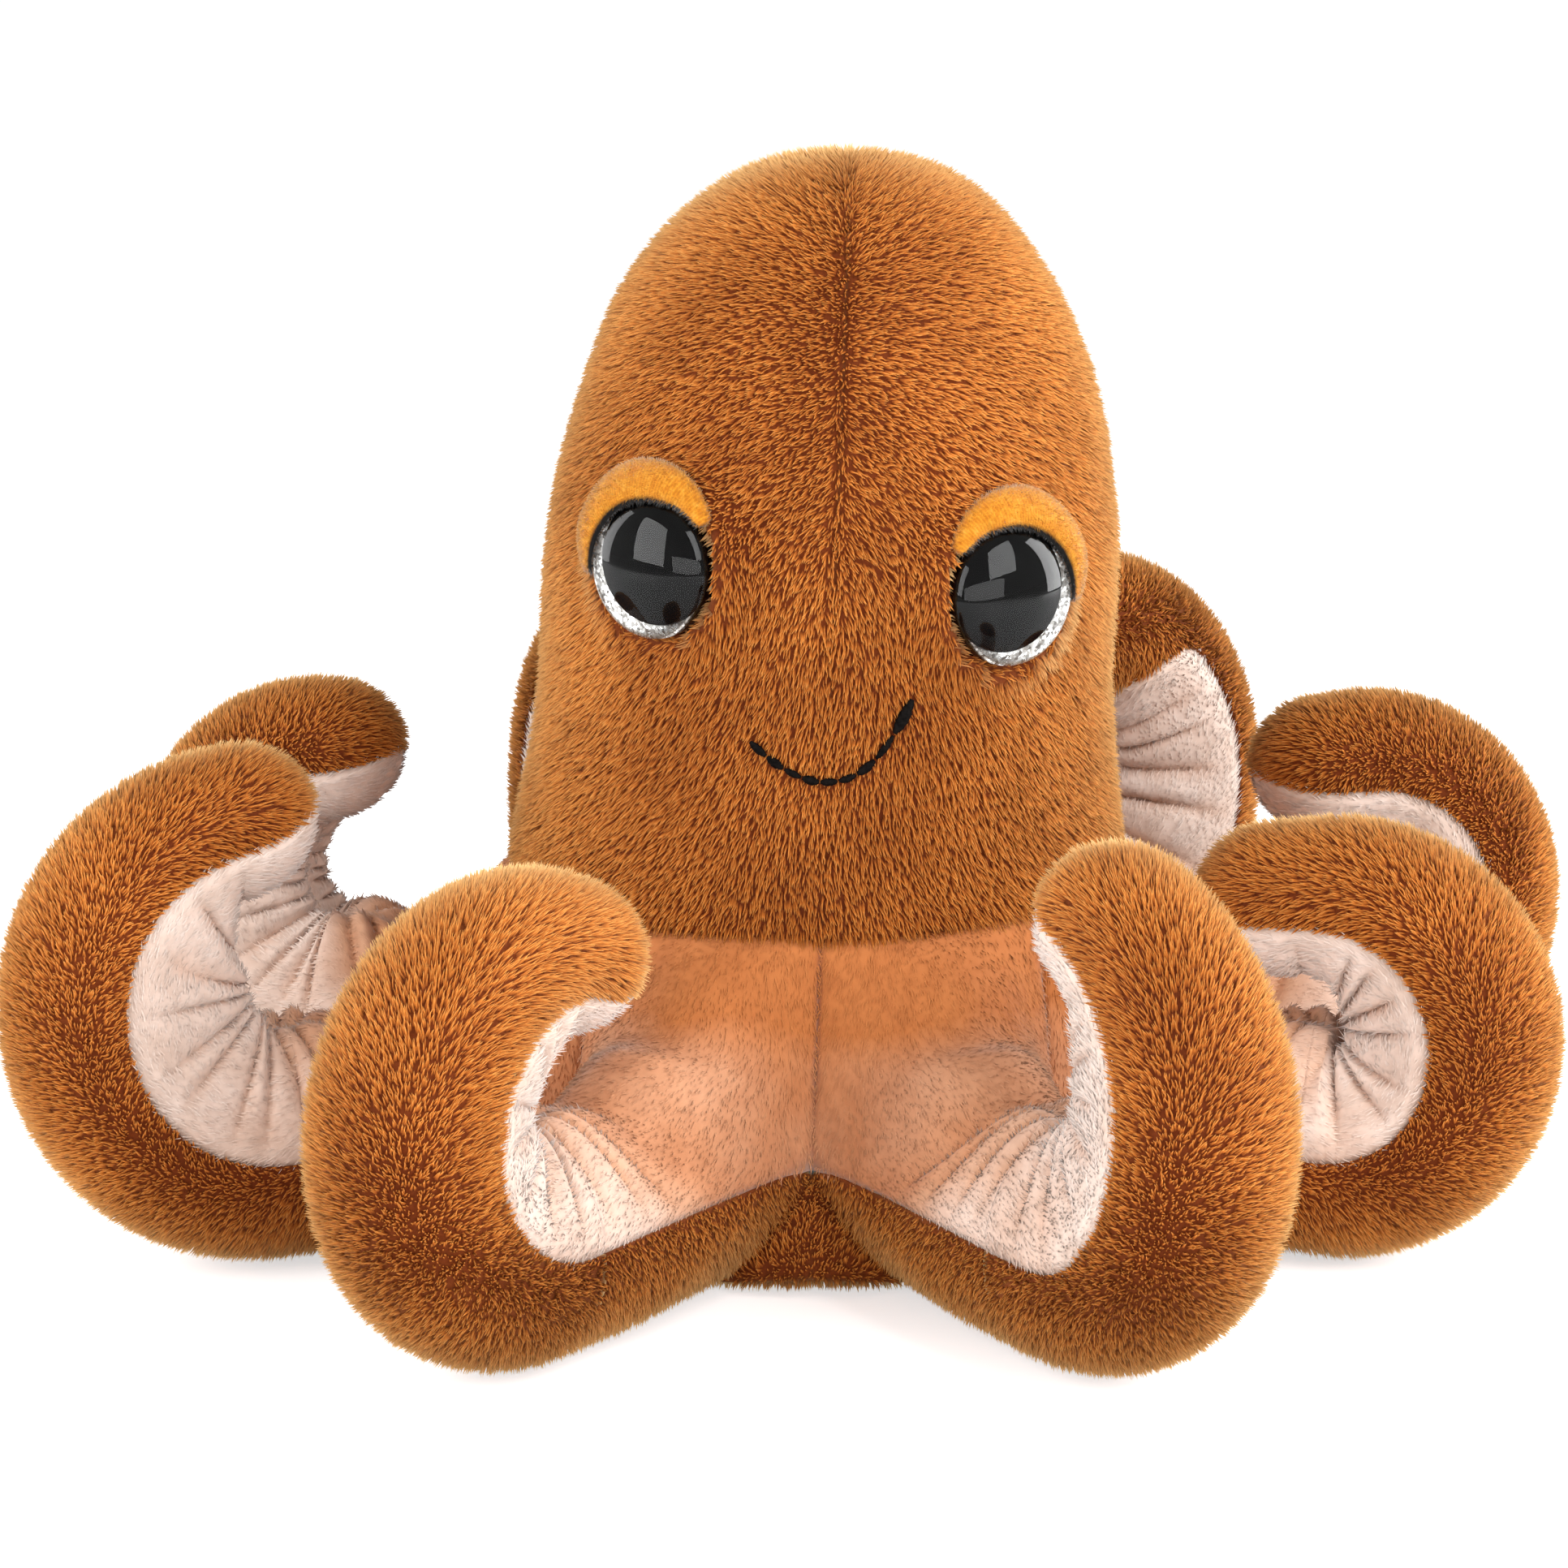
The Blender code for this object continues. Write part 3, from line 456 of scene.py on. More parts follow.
def layPanel(name, columns, rows, place, facts):
    # place(across, along) gives a point of the cloth, facts(across, along) its attributes:
    # how thick and long the pile is there, which way it lies, and how warm its colour, which on the face also carries
    # painted shade in the creases
    bm = bmesh.new()
    bmesh.ops.create_grid(bm, x_segments=columns, y_segments=rows, size=0.5)
    layers = {key: bm.verts.layers.float.new(key) for key in ("thick", "reach", "warm", "run")}
    still = Vector((0, 0, 0))
    nap = bm.verts.layers.float_vector.new("nap")
    step = 0.004
    for vert in bm.verts:
        across, along = vert.co.x + 0.5, vert.co.y + 0.5
        spot = place(across, along)
        found = facts(across, along, spot)
        ahead = (place(across, min(along + step, 1.0)) - place(across, max(along - step, 0.0)))
        aside = (place(min(across + step, 1.0), along) - place(max(across - step, 0.0), along))
        lie = ahead.normalized() * found["nap"][1] + aside.normalized() * found["nap"][0]
        vert[nap] = lie + found.get("pull", still)
        for key, layer in layers.items():
            vert[layer] = found.get(key, 0.0)
        vert.co = spot
    bmesh.ops.remove_doubles(bm, verts=bm.verts, dist=0.02 * mm)
    return bm


def faceOut(bm, middle):
    # turn the panel's faces away from a point inside it
    bmesh.ops.recalc_face_normals(bm, faces=bm.faces)
    bm.normal_update()
    score = 0.0
    for face in bm.faces:
        score += face.normal.dot(face.calc_center_median() - middle(face.calc_center_median())) * face.calc_area()
    if score < 0:
        bmesh.ops.reverse_faces(bm, faces=bm.faces)
    bm.normal_update()


def pileGroup(name, guide, pile, material, seed):
    # hairs stand on the guide's faces and lean along its nap
    group = bpy.data.node_groups.new(name, "GeometryNodeTree")
    group.interface.new_socket("Geometry", in_out="INPUT", socket_type="NodeSocketGeometry")
    group.interface.new_socket("Geometry", in_out="OUTPUT", socket_type="NodeSocketGeometry")
    make = group.nodes.new
    link = group.links.new

    def value(kind, **inputs):
        node = make(kind)
        for key, item in inputs.items():
            node.inputs[key].default_value = item
        return node

    def named(key, kind):
        node = make("GeometryNodeInputNamedAttribute")
        node.data_type = kind
        node.inputs["Name"].default_value = key
        return node.outputs["Attribute"]

    def vectorMath(way, first, second):
        node = make("ShaderNodeVectorMath")
        node.operation = way
        link(first, node.inputs[0])
        if isinstance(second, (int, float)):
            node.inputs["Scale"].default_value = second
        elif isinstance(second, tuple):
            node.inputs[1].default_value = second
        else:
            link(second, node.inputs[1])
        return node.outputs["Vector"]

    def sumOf(way, first, second):
        node = make("ShaderNodeMath")
        node.operation = way
        for socket, item in ((node.inputs[0], first), (node.inputs[1], second)):
            if isinstance(item, (int, float)):
                socket.default_value = item
            else:
                link(item, socket)
        return node.outputs[0]

    def store(geometry, key, item, kind="FLOAT"):
        node = make("GeometryNodeStoreNamedAttribute")
        node.data_type = kind
        node.domain = "POINT"
        node.inputs["Name"].default_value = key
        link(geometry, node.inputs["Geometry"])
        link(item, node.inputs["Value"])
        return node.outputs["Geometry"]

    source = make("GeometryNodeObjectInfo")
    source.inputs["Object"].default_value = guide
    scatter = make("GeometryNodeDistributePointsOnFaces")
    link(source.outputs["Geometry"], scatter.inputs["Mesh"])
    link(sumOf("MULTIPLY", named("thick", "FLOAT"), pile["density"] * 1e6 * pileShare), scatter.inputs["Density"])
    scatter.inputs["Seed"].default_value = seed

    place = make("GeometryNodeInputPosition").outputs[0]
    clump = value("ShaderNodeTexNoise", Scale=1 / pile["clump"], Detail=1.0)
    link(place, clump.inputs["Vector"])
    drift = vectorMath("SCALE", vectorMath("SUBTRACT", clump.outputs["Color"], (0.5, 0.5, 0.5)), pile["tangle"] * 2)
    loose = make("FunctionNodeRandomValue")
    loose.data_type = "FLOAT_VECTOR"
    loose.inputs[0].default_value = (-pile["stray"],) * 3
    loose.inputs[1].default_value = (pile["stray"],) * 3
    loose.inputs["Seed"].default_value = seed + 1
    lean = vectorMath("ADD", named("nap", "FLOAT_VECTOR"), vectorMath("SCALE", scatter.outputs["Normal"], pile["stand"]))
    lean = vectorMath("ADD", vectorMath("ADD", lean, drift), loose.outputs[0])
    align = make("FunctionNodeAlignRotationToVector")
    align.axis = "Z"
    link(lean, align.inputs["Vector"])
    spin = make("FunctionNodeRandomValue")
    spin.data_type = "FLOAT"
    spin.inputs[2].default_value = 0.0
    spin.inputs[3].default_value = math.tau
    spin.inputs["Seed"].default_value = seed + 2
    twirl = make("FunctionNodeAxisAngleToRotation")
    twirl.inputs["Axis"].default_value = (0, 0, 1)
    link(spin.outputs[1], twirl.inputs["Angle"])
    turn = make("FunctionNodeRotateRotation")
    turn.rotation_space = "LOCAL"
    link(align.outputs[0], turn.inputs[0])
    link(twirl.outputs[0], turn.inputs[1])

    uneven = make("FunctionNodeRandomValue")
    uneven.data_type = "FLOAT"
    uneven.inputs[2].default_value = 1 - pile["uneven"]
    uneven.inputs[3].default_value = 1 + pile["uneven"]
    uneven.inputs["Seed"].default_value = seed + 3
    tall = sumOf("MULTIPLY", uneven.outputs[1], named("reach", "FLOAT"))
    size = make("ShaderNodeCombineXYZ")
    wide = sumOf("MULTIPLY", uneven.outputs[1], pile["width"])
    link(wide, size.inputs["X"])
    link(wide, size.inputs["Y"])
    link(sumOf("MULTIPLY", tall, pile["length"]), size.inputs["Z"])

    # each hair's shade is a random tone plus painted shade that follows the clump noise, darker and lighter clump by
    # clump
    tone = make("FunctionNodeRandomValue")
    tone.data_type = "FLOAT"
    tone.inputs[2].default_value = 0.0
    tone.inputs[3].default_value = 0.55
    tone.inputs["Seed"].default_value = seed + 4
    clumpShade = value("ShaderNodeTexNoise", Scale=1 / (pile["clump"] * 0.7), Detail=2.0)
    link(place, clumpShade.inputs["Vector"])
    tone = sumOf("ADD", tone.outputs[1], sumOf("MULTIPLY", sumOf("SUBTRACT", clumpShade.outputs["Fac"], 0.28), 1.0))
    points = store(scatter.outputs["Points"], "shade", tone)
    points = store(points, "clothNormal", scatter.outputs["Normal"], "FLOAT_VECTOR")

    hair = value("GeometryNodeMeshCone", Vertices=3, **{"Radius Top": 0.0, "Radius Bottom": 0.5, "Depth": 1.0})
    hair.fill_type = "NONE"
    hair.inputs["Side Segments"].default_value = 1
    height = make("ShaderNodeSeparateXYZ")
    link(make("GeometryNodeInputPosition").outputs[0], height.inputs[0])
    strand = store(hair.outputs["Mesh"], "tip", height.outputs["Z"])
    plant = make("GeometryNodeInstanceOnPoints")
    link(points, plant.inputs["Points"])
    link(strand, plant.inputs["Instance"])
    link(turn.outputs[0], plant.inputs["Rotation"])
    link(size.outputs[0], plant.inputs["Scale"])
    real = make("GeometryNodeRealizeInstances")
    link(plant.outputs[0], real.inputs[0])

    # nothing goes through the table
    spread = make("ShaderNodeSeparateXYZ")
    link(make("GeometryNodeInputPosition").outputs[0], spread.inputs[0])
    put = make("ShaderNodeCombineXYZ")
    link(spread.outputs["X"], put.inputs["X"])
    link(spread.outputs["Y"], put.inputs["Y"])
    link(sumOf("MAXIMUM", spread.outputs["Z"], 0.15 * mm), put.inputs["Z"])
    rest = make("GeometryNodeSetPosition")
    link(real.outputs[0], rest.inputs["Geometry"])
    link(put.outputs[0], rest.inputs["Position"])

    join = make("GeometryNodeJoinGeometry")
    entry = make("NodeGroupInput")
    link(rest.outputs[0], join.inputs[0])
    link(entry.outputs[0], join.inputs[0])
    paint = make("GeometryNodeSetMaterial")
    paint.inputs["Material"].default_value = material
    link(join.outputs[0], paint.inputs["Geometry"])
    leave = make("NodeGroupOutput")
    link(paint.outputs[0], leave.inputs[0])
    return group


def softNormals(mesh, share):
    # hairs take most of their shading from the cloth below, as a dense pile does
    count = len(mesh.vertices)
    own = np.zeros(count * 3, np.float32)
    mesh.vertex_normals.foreach_get("vector", own)
    cloth = np.zeros(count * 3, np.float32)
    mesh.attributes["clothNormal"].data.foreach_get("vector", cloth)
    own = own.reshape(-1, 3)
    cloth = cloth.reshape(-1, 3)
    isHair = np.linalg.norm(cloth, axis=1, keepdims=True) > 0.5
    mixed = np.where(isHair, own * (1 - share) + cloth * share, own)
    mixed /= np.maximum(np.linalg.norm(mixed, axis=1, keepdims=True), 1e-6)
    mesh.normals_split_custom_set_from_vertices(mixed)


def plushPiece(name, bm, wall, pile, material, seed):
    # the cloth gets a thickness behind it and its pile in front
    guide = newObject(name + "_guide", bpy.data.meshes.new(name + "_guide"))
    bm.to_mesh(guide.data)
    back = bm.copy()
    bm.free()
    bmesh.ops.solidify(back, geom=back.faces[:], thickness=wall)
    mesh = bpy.data.meshes.new(name)
    back.to_mesh(mesh)
    back.free()
    piece = newObject(name, mesh)
    grow = piece.modifiers.new("Pile", "NODES")
    grow.node_group = pileGroup(name + "_pile", guide, pile, material, seed)
    bpy.context.view_layer.update()
    graph = bpy.context.evaluated_depsgraph_get()
    made = bpy.data.meshes.new_from_object(piece.evaluated_get(graph))
    piece.modifiers.clear()
    piece.data = made
    made.name = name
    made.shade_smooth()
    softNormals(made, pile["softness"])
    for spare in ("clothNormal", "thick", "reach", "nap"):
        if spare in made.attributes:
            made.attributes.remove(made.attributes[spare])
    bpy.data.objects.remove(guide, do_unlink=True)
    if not len(made.materials):
        made.materials.append(material)
    return piece


# Head, the same dome as the model's, in four panels

head = dict(
    radius=43.2 * mm, top=163.0 * mm, domeFoot=89.0 * mm, neckRadius=47.0 * mm, neckHeight=53.7 * mm,
    lean=5.6 * mm, leanFoot=19.5 * mm, power=2.25, pileDepth=0.9 * mm, hem=1.0 * mm,
)

longPile = dict(density=4.2, length=1.95 * mm, width=0.41 * mm, clump=1.1 * mm, tangle=0.62, stray=0.24,
                stand=1.35, uneven=0.28, softness=0.74)
shortPile = dict(density=2.1, length=1.15 * mm, width=0.27 * mm, clump=3.6 * mm, tangle=0.20, stray=0.18,
                 stand=0.50, uneven=0.35, softness=0.80)


def headWidth(height, inset=0.0):
    if height > head["domeFoot"]:
        rise = min((height - head["domeFoot"]) / (head["top"] - inset - head["domeFoot"]), 1.0)
        return (head["radius"] - inset) * (1 - rise ** head["power"]) ** (1 / head["power"])
    fall = (head["domeFoot"] - height) / (head["domeFoot"] - head["neckHeight"])
    return head["radius"] - inset + (head["neckRadius"] - head["radius"]) * fall ** 2


def fuller(turn):
    # stuffed a little fuller to the left
    return 0.8 * mm * smooth(-math.sin(math.radians(turn)))


def headShift(height):
    return head["lean"] * max(0.0, (height - head["leanFoot"]) / (head["top"] - head["leanFoot"]))


def onHead(turn, height, out):
    swing = math.radians(turn)
    reach = headWidth(height) + out
    return Vector((reach * math.sin(swing) + headShift(height), -reach * math.cos(swing), height))


eyes = dict(
    radius=10.5 * mm, sink=1.2 * mm, tilt=3.0, back=1.1 * mm, disc=0.4 * mm, gap=0.3 * mm,
    irisRadius=8.5 * mm, irisShift=(-0.87 * mm, -0.97 * mm), pupilRadius=8.6 * mm, pupilShift=(1.11 * mm, 1.22 * mm),
    dome=6.2 * mm, rim=1.3 * mm,
    left=dict(turn=-37.6, height=107.1 * mm, mirror=1),
    right=dict(turn=35.8, height=103.3 * mm, mirror=-1),
)


def eyePlace(side):
    eye = eyes[side]
    middle = onHead(eye["turn"], eye["height"], -eyes["sink"])
    swing, tilt = math.radians(eye["turn"]), math.radians(eyes["tilt"])
    ahead = Vector((math.sin(swing) * math.cos(tilt), -math.cos(swing) * math.cos(tilt), math.sin(tilt)))
    across = Vector((0, 0, 1)).cross(ahead).normalized()
    up = ahead.cross(across)
    return Matrix.Translation(middle) @ Matrix((across, up, ahead)).transposed().to_4x4()


eyeSeats = {side: eyePlace(side) for side in ("left", "right")}
eyeFrames = {side: eyeSeats[side].inverted() for side in eyeSeats}

mouth = dict(left=-15.3, right=16.0, leftHeight=83.0 * mm, low=77.3 * mm, rightHeight=89.4 * mm, lowShare=0.46,
             leftPower=1.7, rightPower=2.5, stitches=9, radius=0.60 * mm, lift=0.45 * mm, lastSize=1.45)


def mouthPoint(share):
    turn = lerp(mouth["left"], mouth["right"], share)
    if share < mouth["lowShare"]:
        rise = (1 - share / mouth["lowShare"]) ** mouth["leftPower"]
        height = lerp(mouth["low"], mouth["leftHeight"], rise)
    else:
        rise = ((share - mouth["lowShare"]) / (1 - mouth["lowShare"])) ** mouth["rightPower"]
        height = lerp(mouth["low"], mouth["rightHeight"], rise)
    return turn, height


mouthTrack = [onHead(*mouthPoint(step / 40), 0.0) for step in range(41)]


def bankRoundEyes(spot):
    # the cloth dives under each eye's back and banks up against its rim
    for side, seat in eyeSeats.items():
        local = eyeFrames[side] @ spot
        away = math.hypot(local.x, local.y)
        if away < 17 * mm and abs(local.z) < 8 * mm:
            under = 1 - smooth((away - 10.35 * mm) / (0.35 * mm))
            bank = bell(away - 11.0 * mm, 3.0 * mm) * (1 - under)
            high = local.z + bank * max(0.0, 2.0 * mm - local.z)
            local.z = lerp(high, min(local.z, -0.5 * mm), under)
            spot = seat @ local
    return spot


def headPanel(start, stop, seamAt):
    # a panel between two turns, from the crown down to the neck
    span = stop - start

    def place(across, along):
        turn = start + span * across
        dome = 0.60
        if along < dome:
            swing = math.pi / 2 * (1 - along / dome)
            rise = math.sin(swing) ** (2 / head["power"])
            height = lerp(head["domeFoot"], head["top"] - head["pileDepth"], rise)
        else:
            height = lerp(head["domeFoot"], head["neckHeight"] - head["hem"], (along - dome) / (1 - dome))
        width = headWidth(max(height, head["neckHeight"]), head["pileDepth"])
        arc = math.radians(turn - seamAt) * width
        seam = smooth((height - 80 * mm) / (25 * mm)) if seamAt == 0 else 1.0
        dip = 0.20 * mm * bell(arc, 0.8 * mm) * smooth(width / (12 * mm)) * seam
        tuck = 1.2 * mm * smooth((along - 0.97) / 0.03)  # drawn in at the neck seam
        swing = math.radians(turn)
        spot = Vector((width * math.sin(swing) + headShift(height), -width * math.cos(swing), height))
        out = Vector((math.sin(swing), -math.cos(swing), 0))
        lumps = noise.noise(spot * 38) * 0.8 * mm + noise.noise(spot * 110) * 0.25 * mm
        spot += out * ((lumps + fuller(turn)) * smooth(width / (10 * mm)) - dip - tuck)
        return bankRoundEyes(spot)

    def facts(across, along, spot):
        turn = start + span * across
        width = headWidth(min(spot.z, head["top"] - head["pileDepth"]), head["pileDepth"])
        arc = math.radians(turn - seamAt) * width
        thick, reach = 1.0, 1.0
        pull = Vector((0, 0, 0))
        for side, seat in eyeSeats.items():
            local = eyeFrames[side] @ spot
            near = math.hypot(local.x, local.y)
            if near < 16 * mm and abs(local.z) < 8 * mm:
                thick *= smooth((near - 10.7 * mm) / (0.2 * mm))
                reach *= lerp(0.66, 1.0, smooth((near - 10.6 * mm) / (3.0 * mm)))
                inward = seat.to_3x3() @ Vector((-local.x, -local.y, 0)).normalized()
                pull += inward * 0.40 * (1 - smooth((near - 10.0 * mm) / (3.0 * mm)))
        gap = min((spot - point).length for point in mouthTrack)
        reach *= lerp(0.50, 1.0, smooth((gap - 0.5 * mm) / (1.4 * mm)))
        reach *= lerp(0.96, 1.0, smooth(abs(arc) / (1.5 * mm)))
        # above the eyes the nap parts from the seam, and below them it runs down
        part = smooth((spot.z - 92 * mm) / (30 * mm))
        fan = bell(arc, 26 * mm) * part
        sidewards = 0.60 * fan * (1 if arc > 0 else -1) * smooth(abs(arc) / (1.2 * mm))
        swirl = noise.noise(spot * 34 + Vector((3, 1, 7)))
        across_ = (sidewards + 0.55 * swirl) * (1 if span > 0 else -1)
        down = lerp(1.0, 0.50, fan)
        return dict(thick=thick, reach=reach, warm=0.0, nap=(across_, down), pull=pull)

    return place, facts


def makeHead():
    made = []
    quarters = (("left_front", 0, -90, 0), ("left_back", -90, -180, -180),
                ("right_front", 0, 90, 0), ("right_back", 90, 180, 180))
    for number, (part, start, stop, seamAt) in enumerate(quarters):
        place, facts = headPanel(start, stop, seamAt)
        bm = layPanel("headPlush_" + part, 52, 84, place, facts)
        faceOut(bm, lambda spot: Vector((headShift(spot.z), 0, min(spot.z, 0.10))))
        piece = plushPiece("headPlush_" + part, bm, 0.9 * mm, longPile, materials["ginger"], 10 + number * 7)
        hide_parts("head_cover_left" if "left" in part else "head_cover_right")
        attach(piece, "body")
        made.append(piece)
    say("head plush")
    return made


# Arms: the same curls as the model's

arms = {
    "front_left": dict(root=-22.5, heading=-38, turn=200, length=1.05, hold=0.32, tail=0.03, close=0.97, closeTip=0.18, wrap=((-1, 0.55, 0.85, -16.0),)),
    "front_right": dict(root=22.5, heading=33, turn=163, length=0.98, hold=0.33, tail=0.00, close=0.90, wrap=((1, 0.35, 0.50, 10.0),)),
    "middle_left": dict(root=-67.5, heading=-71, turn=165, length=1.04, hold=0.33, tail=0.03, close=0.97),
    "middle_right": dict(root=67.5, heading=71, turn=185, length=0.95, hold=0.33, tail=0.08, close=0.97),
    "back_left": dict(root=-112.5, heading=-112, turn=175, length=0.91, hold=0.31, tail=0.00),
    "back_right": dict(root=112.5, heading=107, turn=180, length=1.03, hold=0.37, tail=0.04),
    "rear_left": dict(root=-157.5, heading=-161, turn=190, length=1.03, hold=0.27, tail=0.00),
    "rear_right": dict(root=157.5, heading=136, turn=190, length=1.15, hold=0.26, tail=0.00, wrap=((1, 0.31, 0.45, 16.0), (0, 0.80, 0.92, -60.0))),
}
armSize = dict(
    ring=50.0 * mm, rootRadius=17.0 * mm, tipRadius=12.0 * mm, length=110.0 * mm, lift=17.4 * mm,
    thin=0.06, puff=0.34, puffStart=0.15, puffRamp=0.14, puffFade=0.25, puffTip=0.3, cap=0.15, faceEdge=82.0,
    split=0.31, steps=400,
)
folds = dict(count=12, depth=2.5 * mm, valley=0.15, valleyWidth=11.0, pleat=0.55, knot=0.37, pinch=0.36)
body = dict(crotchRadius=52.5 * mm, crotchHeight=19.5 * mm, shoulderRadius=60.0 * mm, shoulderHeight=40.5 * mm,
            restRadius=45.0 * mm, belly=5.0 * mm, sector=22.5)


def headingOf(arm):
    swing = math.radians(arm["heading"])
    return Vector((math.sin(swing), -math.cos(swing), 0))


def rootOf(arm):
    swing = math.radians(arm["root"])
    return Vector((armSize["ring"] * math.sin(swing), -armSize["ring"] * math.cos(swing), armSize["lift"]))


def armRadius(share):
    return lerp(armSize["rootRadius"], armSize["tipRadius"], share ** 2)


def armCurl(arm, share):
    bend = 1 - arm["hold"] - arm["tail"]
    return min(max(0.0, (share - arm["hold"]) / bend), 1.0)


def armSpine(arm):
    # places and directions down the middle of an arm
    length = armSize["length"] * arm["length"]
    turn = math.radians(arm["turn"])
    up = Vector((0, 0, 1))
    out = headingOf(arm)
    side = out.cross(up)
    reach = climb = 0.0
    spine = []
    for step in range(armSize["steps"] + 1):
        share = step / armSize["steps"]
        swing = turn * armCurl(arm, share)
        drop = (armSize["rootRadius"] - armRadius(share)) * max(0.0, math.cos(swing))
        place = rootOf(arm) + out * reach + up * (climb - drop)
        ahead = out * math.cos(swing) + up * math.sin(swing)
        inward = up * math.cos(swing) - out * math.sin(swing)
        spine.append((place, ahead, inward, side))
        reach += math.cos(swing) * length / armSize["steps"]
        climb += math.sin(swing) * length / armSize["steps"]
    return spine


def spineAt(arm, share):
    spot = min(max(share, 0.0), 1.0) * armSize["steps"]
    here = min(int(spot), armSize["steps"] - 1)
    first, second = arm["spine"][here], arm["spine"][here + 1]
    return [a.lerp(b, spot - here) for a, b in zip(first, second)]


def foldDepth(arm, share, theta):
    # pleats that fan out from the gathered middle of the face to both of its edges
    edge = abs(theta) / armSize["faceEdge"]
    if edge >= 1:
        return 0.0
    side = 1 if theta > 0 else -1
    seed = arm["root"]
    at = share
    fade = 1.0
    if share < folds["knot"]:
        # near the body they all run out of one knot
        at = folds["knot"] - (folds["knot"] - share) / lerp(folds["pinch"], 1.0, edge)
        fade = smooth((at - 0.00) / 0.08)
    wander = 0.018 * math.sin(17 * at + seed) + 0.010 * math.sin(41 * at + 2 * seed + side)
    phase = math.pi * (folds["count"] * (at + wander) + 0.35 * side + 0.42 * edge * math.sin(11 * at + seed))
    pleat = abs(math.sin(phase)) ** folds["pleat"]
    size = 0.92 + 0.26 * math.sin(5.3 * at + 1.7 * seed + 2.1 * side)
    reach = smooth((edge - 0.02) / 0.14) * (1 - smooth((edge - 0.62) / 0.36))
    run = fade * (1 - smooth((share - 0.90) / 0.12))
    return folds["depth"] * size * (1 - pleat) * reach * run


def seamAngle(arm, share, sign):
    # where the ginger meets the face, on either side
    edge = armSize["faceEdge"]
    for onSide, start, full, extra in arm.get("wrap", ()):
        if onSide * sign >= 0:
            edge += extra * smooth((share - start) / (full - start))
    return edge


def curlRadius(arm):
    bend = 1 - arm["hold"] - arm["tail"]
    return armSize["length"] * arm["length"] * bend / math.radians(arm["turn"])


def armPoint(arm, share, theta, inset):
    place, ahead, inward, side = spineAt(arm, share)
    swing = math.radians(theta)
    size = armRadius(min(share, 1.0))
    squash = 1 - armSize["thin"] * smooth(min(share, 1.0))
    push = 0.0
    cap = 1.0
    if share > 1:
        angle = math.pi / 2 * (1 - min((share - 1) / armSize["cap"], 1.0))
        cap = math.sin(angle)
        push = (size - inset) * math.cos(angle)
    curl = armCurl(arm, min(share, 1.0))
    swell = armSize["puff"] * smooth((share - armSize["puffStart"]) / armSize["puffRamp"])
    swell *= smooth((1 - curl) / armSize["puffFade"] + armSize["puffTip"])
    swell *= 1 - smooth((share - 0.94) / 0.12)
    # the pleats of a closed curl meet at its middle, and none passes it
    within = smooth(curl / 0.16) * smooth((1 - curl) / arm.get("closeTip", 0.30))
    full = curlRadius(arm) * 0.97 / (size * squash) - 1
    if "close" in arm:
        swell = lerp(swell, max(swell, curlRadius(arm) * arm["close"] / (size * squash) - 1), within)
    swell = lerp(swell, min(swell, full), smooth(curl / 0.06))
    edge = min(abs(theta) / armSize["faceEdge"], 1.0)
    window = max(math.cos(math.pi / 2 * edge), 0.0) ** 0.6
    dent = 1 - folds["valley"] * bell(theta, folds["valleyWidth"]) * smooth((share - 0.12) / 0.2) \
        * (1 - smooth((share - 0.90) / 0.14))
    fold = foldDepth(arm, share, theta)
    tall = (size * squash * (1 + swell * window) * dent - inset - fold) * math.cos(swing) * cap
    wide = (size - inset - fold * 0.6) * math.sin(swing) * cap
    return place + ahead * push + inward * tall + side * wide


def aroundZ(turn, radius, height):
    swing = math.radians(turn)
    return Vector((radius * math.sin(swing), -radius * math.cos(swing), height))


def leaned(spot):
    return spot + Vector((headShift(spot.z), 0, 0))


skirtInset = 0.5 * mm
backInset = 0.9 * mm


def faceInset(side):
    # the face is turned in at its seam, below the ginger pile
    return skirtInset + 0.9 * mm * smooth((abs(side) - 0.90) / 0.10)


def facePeachAndCreaseShade(arm, share, side, crease):
    # sprayed peach by the body, running out over the first fold of the arm; the creases get more peach as painted
    # shade in the folds
    middle = 1 - abs(side) ** 1.5
    body_ = 1 - smooth((share - 0.03) / (0.24 + 0.16 * middle))
    spray = 0.86 * body_ * (0.62 + 0.38 * middle)
    return min(1.0, spray + 0.24 * crease + 0.12 * (1 - smooth((share - 0.3) / 0.4)))


